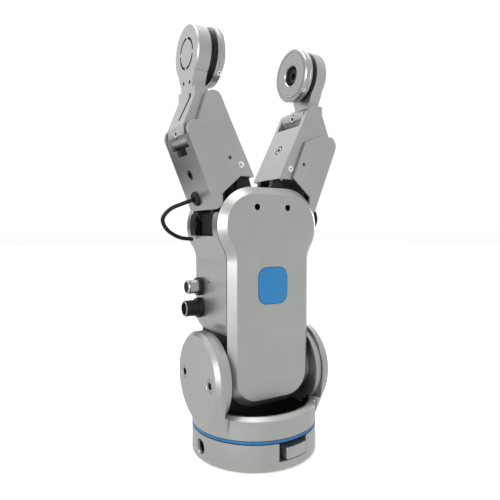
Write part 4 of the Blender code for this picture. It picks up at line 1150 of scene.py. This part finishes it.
def camera():
    made = add_object("camera", bpy.data.cameras.new("camera"))
    bpy.context.scene.camera = made
    made.location = CAMERA_AT
    made.rotation_euler = [math.radians(degrees) for degrees in CAMERA_TURN]
    made.data.lens = CAMERA_LENS
    made.data.shift_x, made.data.shift_y = CAMERA_SHIFT
    made.data.clip_start = 0.01


def studio_floor():
    """Pale floor that glossy surfaces don't see."""
    bpy.ops.mesh.primitive_plane_add(size=FLOOR_SIZE)
    plane = bpy.context.object
    plane.name = "floor"
    material, _, shader = shader_nodes("pale floor", (0.93, 0.93, 0.93), 0.0, 0.9)
    shader.inputs["Emission Color"].default_value = WHITE
    shader.inputs["Emission Strength"].default_value = FLOOR_GLOW
    plane.data.materials.append(material)
    plane.visible_glossy = False


def dark_card():
    """Upright card behind the left arm, seen only in reflections."""
    bpy.ops.mesh.primitive_plane_add(size=1, location=CARD_AT)
    card = bpy.context.object
    card.name = "dark_card"
    card.rotation_euler = (math.radians(90), 0.0, math.radians(CARD_TURN))
    card.scale = (*CARD_SIZE, 1.0)
    card.data.materials.append(shader_nodes("dark card", (0.01, 0.01, 0.01), 0.0, 1.0)[0])
    card.visible_camera = False
    card.visible_diffuse = False
    card.visible_shadow = False


def studio_world():
    """White behind the object, dim on the camera's side, and one grey below the horizon."""
    world = bpy.data.worlds.new("studio")
    bpy.context.scene.world = world
    world.use_nodes = True
    tree = world.node_tree
    background = tree.nodes["Background"]
    background.inputs["Color"].default_value = WHITE
    direction = tree.nodes.new("ShaderNodeTexCoord").outputs["Generated"]
    toward = maths(tree, "VectorMath", "DOT_PRODUCT", direction, BRIGHT_SIDE)
    fall = map_range(tree, toward.outputs["Value"], BRIGHT_RANGE, BRIGHT_LEVELS, "SMOOTHSTEP")
    height = tree.nodes.new("ShaderNodeSeparateXYZ")
    tree.links.new(direction, height.inputs[0])
    above = map_range(tree, height.outputs["Z"], HORIZON, (0.0, 1.0), "SMOOTHSTEP")
    level = tree.nodes.new("ShaderNodeMix")
    level.inputs["A"].default_value = LOW_LEVEL
    tree.links.new(above, level.inputs["Factor"])
    tree.links.new(fall, level.inputs["B"])
    tree.links.new(level.outputs["Result"], background.inputs["Strength"])


def lamps():
    for name, spot, aim, size, power in LAMPS:
        lamp = bpy.data.lights.new(name, "AREA")
        lamp.size = size
        lamp.energy = power
        light = add_object(name, lamp)
        light.location = spot
        light.rotation_euler = (Vector(aim) - Vector(spot)).to_track_quat("-Z", "Y").to_euler()


# ---- scene

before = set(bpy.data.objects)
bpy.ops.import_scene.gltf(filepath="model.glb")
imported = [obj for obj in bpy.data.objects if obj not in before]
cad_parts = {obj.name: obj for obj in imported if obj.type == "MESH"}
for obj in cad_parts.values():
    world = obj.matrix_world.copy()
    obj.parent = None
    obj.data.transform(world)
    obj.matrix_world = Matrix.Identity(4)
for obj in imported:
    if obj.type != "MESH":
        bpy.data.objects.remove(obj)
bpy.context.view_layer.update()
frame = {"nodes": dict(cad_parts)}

bpy.context.scene.view_settings.view_transform = "Standard"
camera()
studio_floor()
dark_card()
studio_world()
lamps()
for _, hand in HANDS:
    cable(hand)
paint_kept(frame)

changer_base()
side_hole_shade()
release_button()
seal_ring()
bracket()
pocket_shade()
for side, hand in HANDS:
    ear_hub(side, hand)
    ear_screws(side, hand)

front_cover()
frame_shell()
for side, hand in HANDS:
    side_recess_shade(side, hand)
back_cover()
for side, hand in HANDS:
    bumper(side, hand)
    window_insert(side, hand)
for name, z, radius, length, _, look in CONNECTORS:
    connector(f"port_{name}", f"connector_{name}", z, radius, length, look)

for side, hand in HANDS:
    inner_link(side, hand)
    outer_link(side, hand)
    grommet(side, hand)
    finger(side, hand)
    sensor_ring(side, hand)
    grip_pad(side, hand)
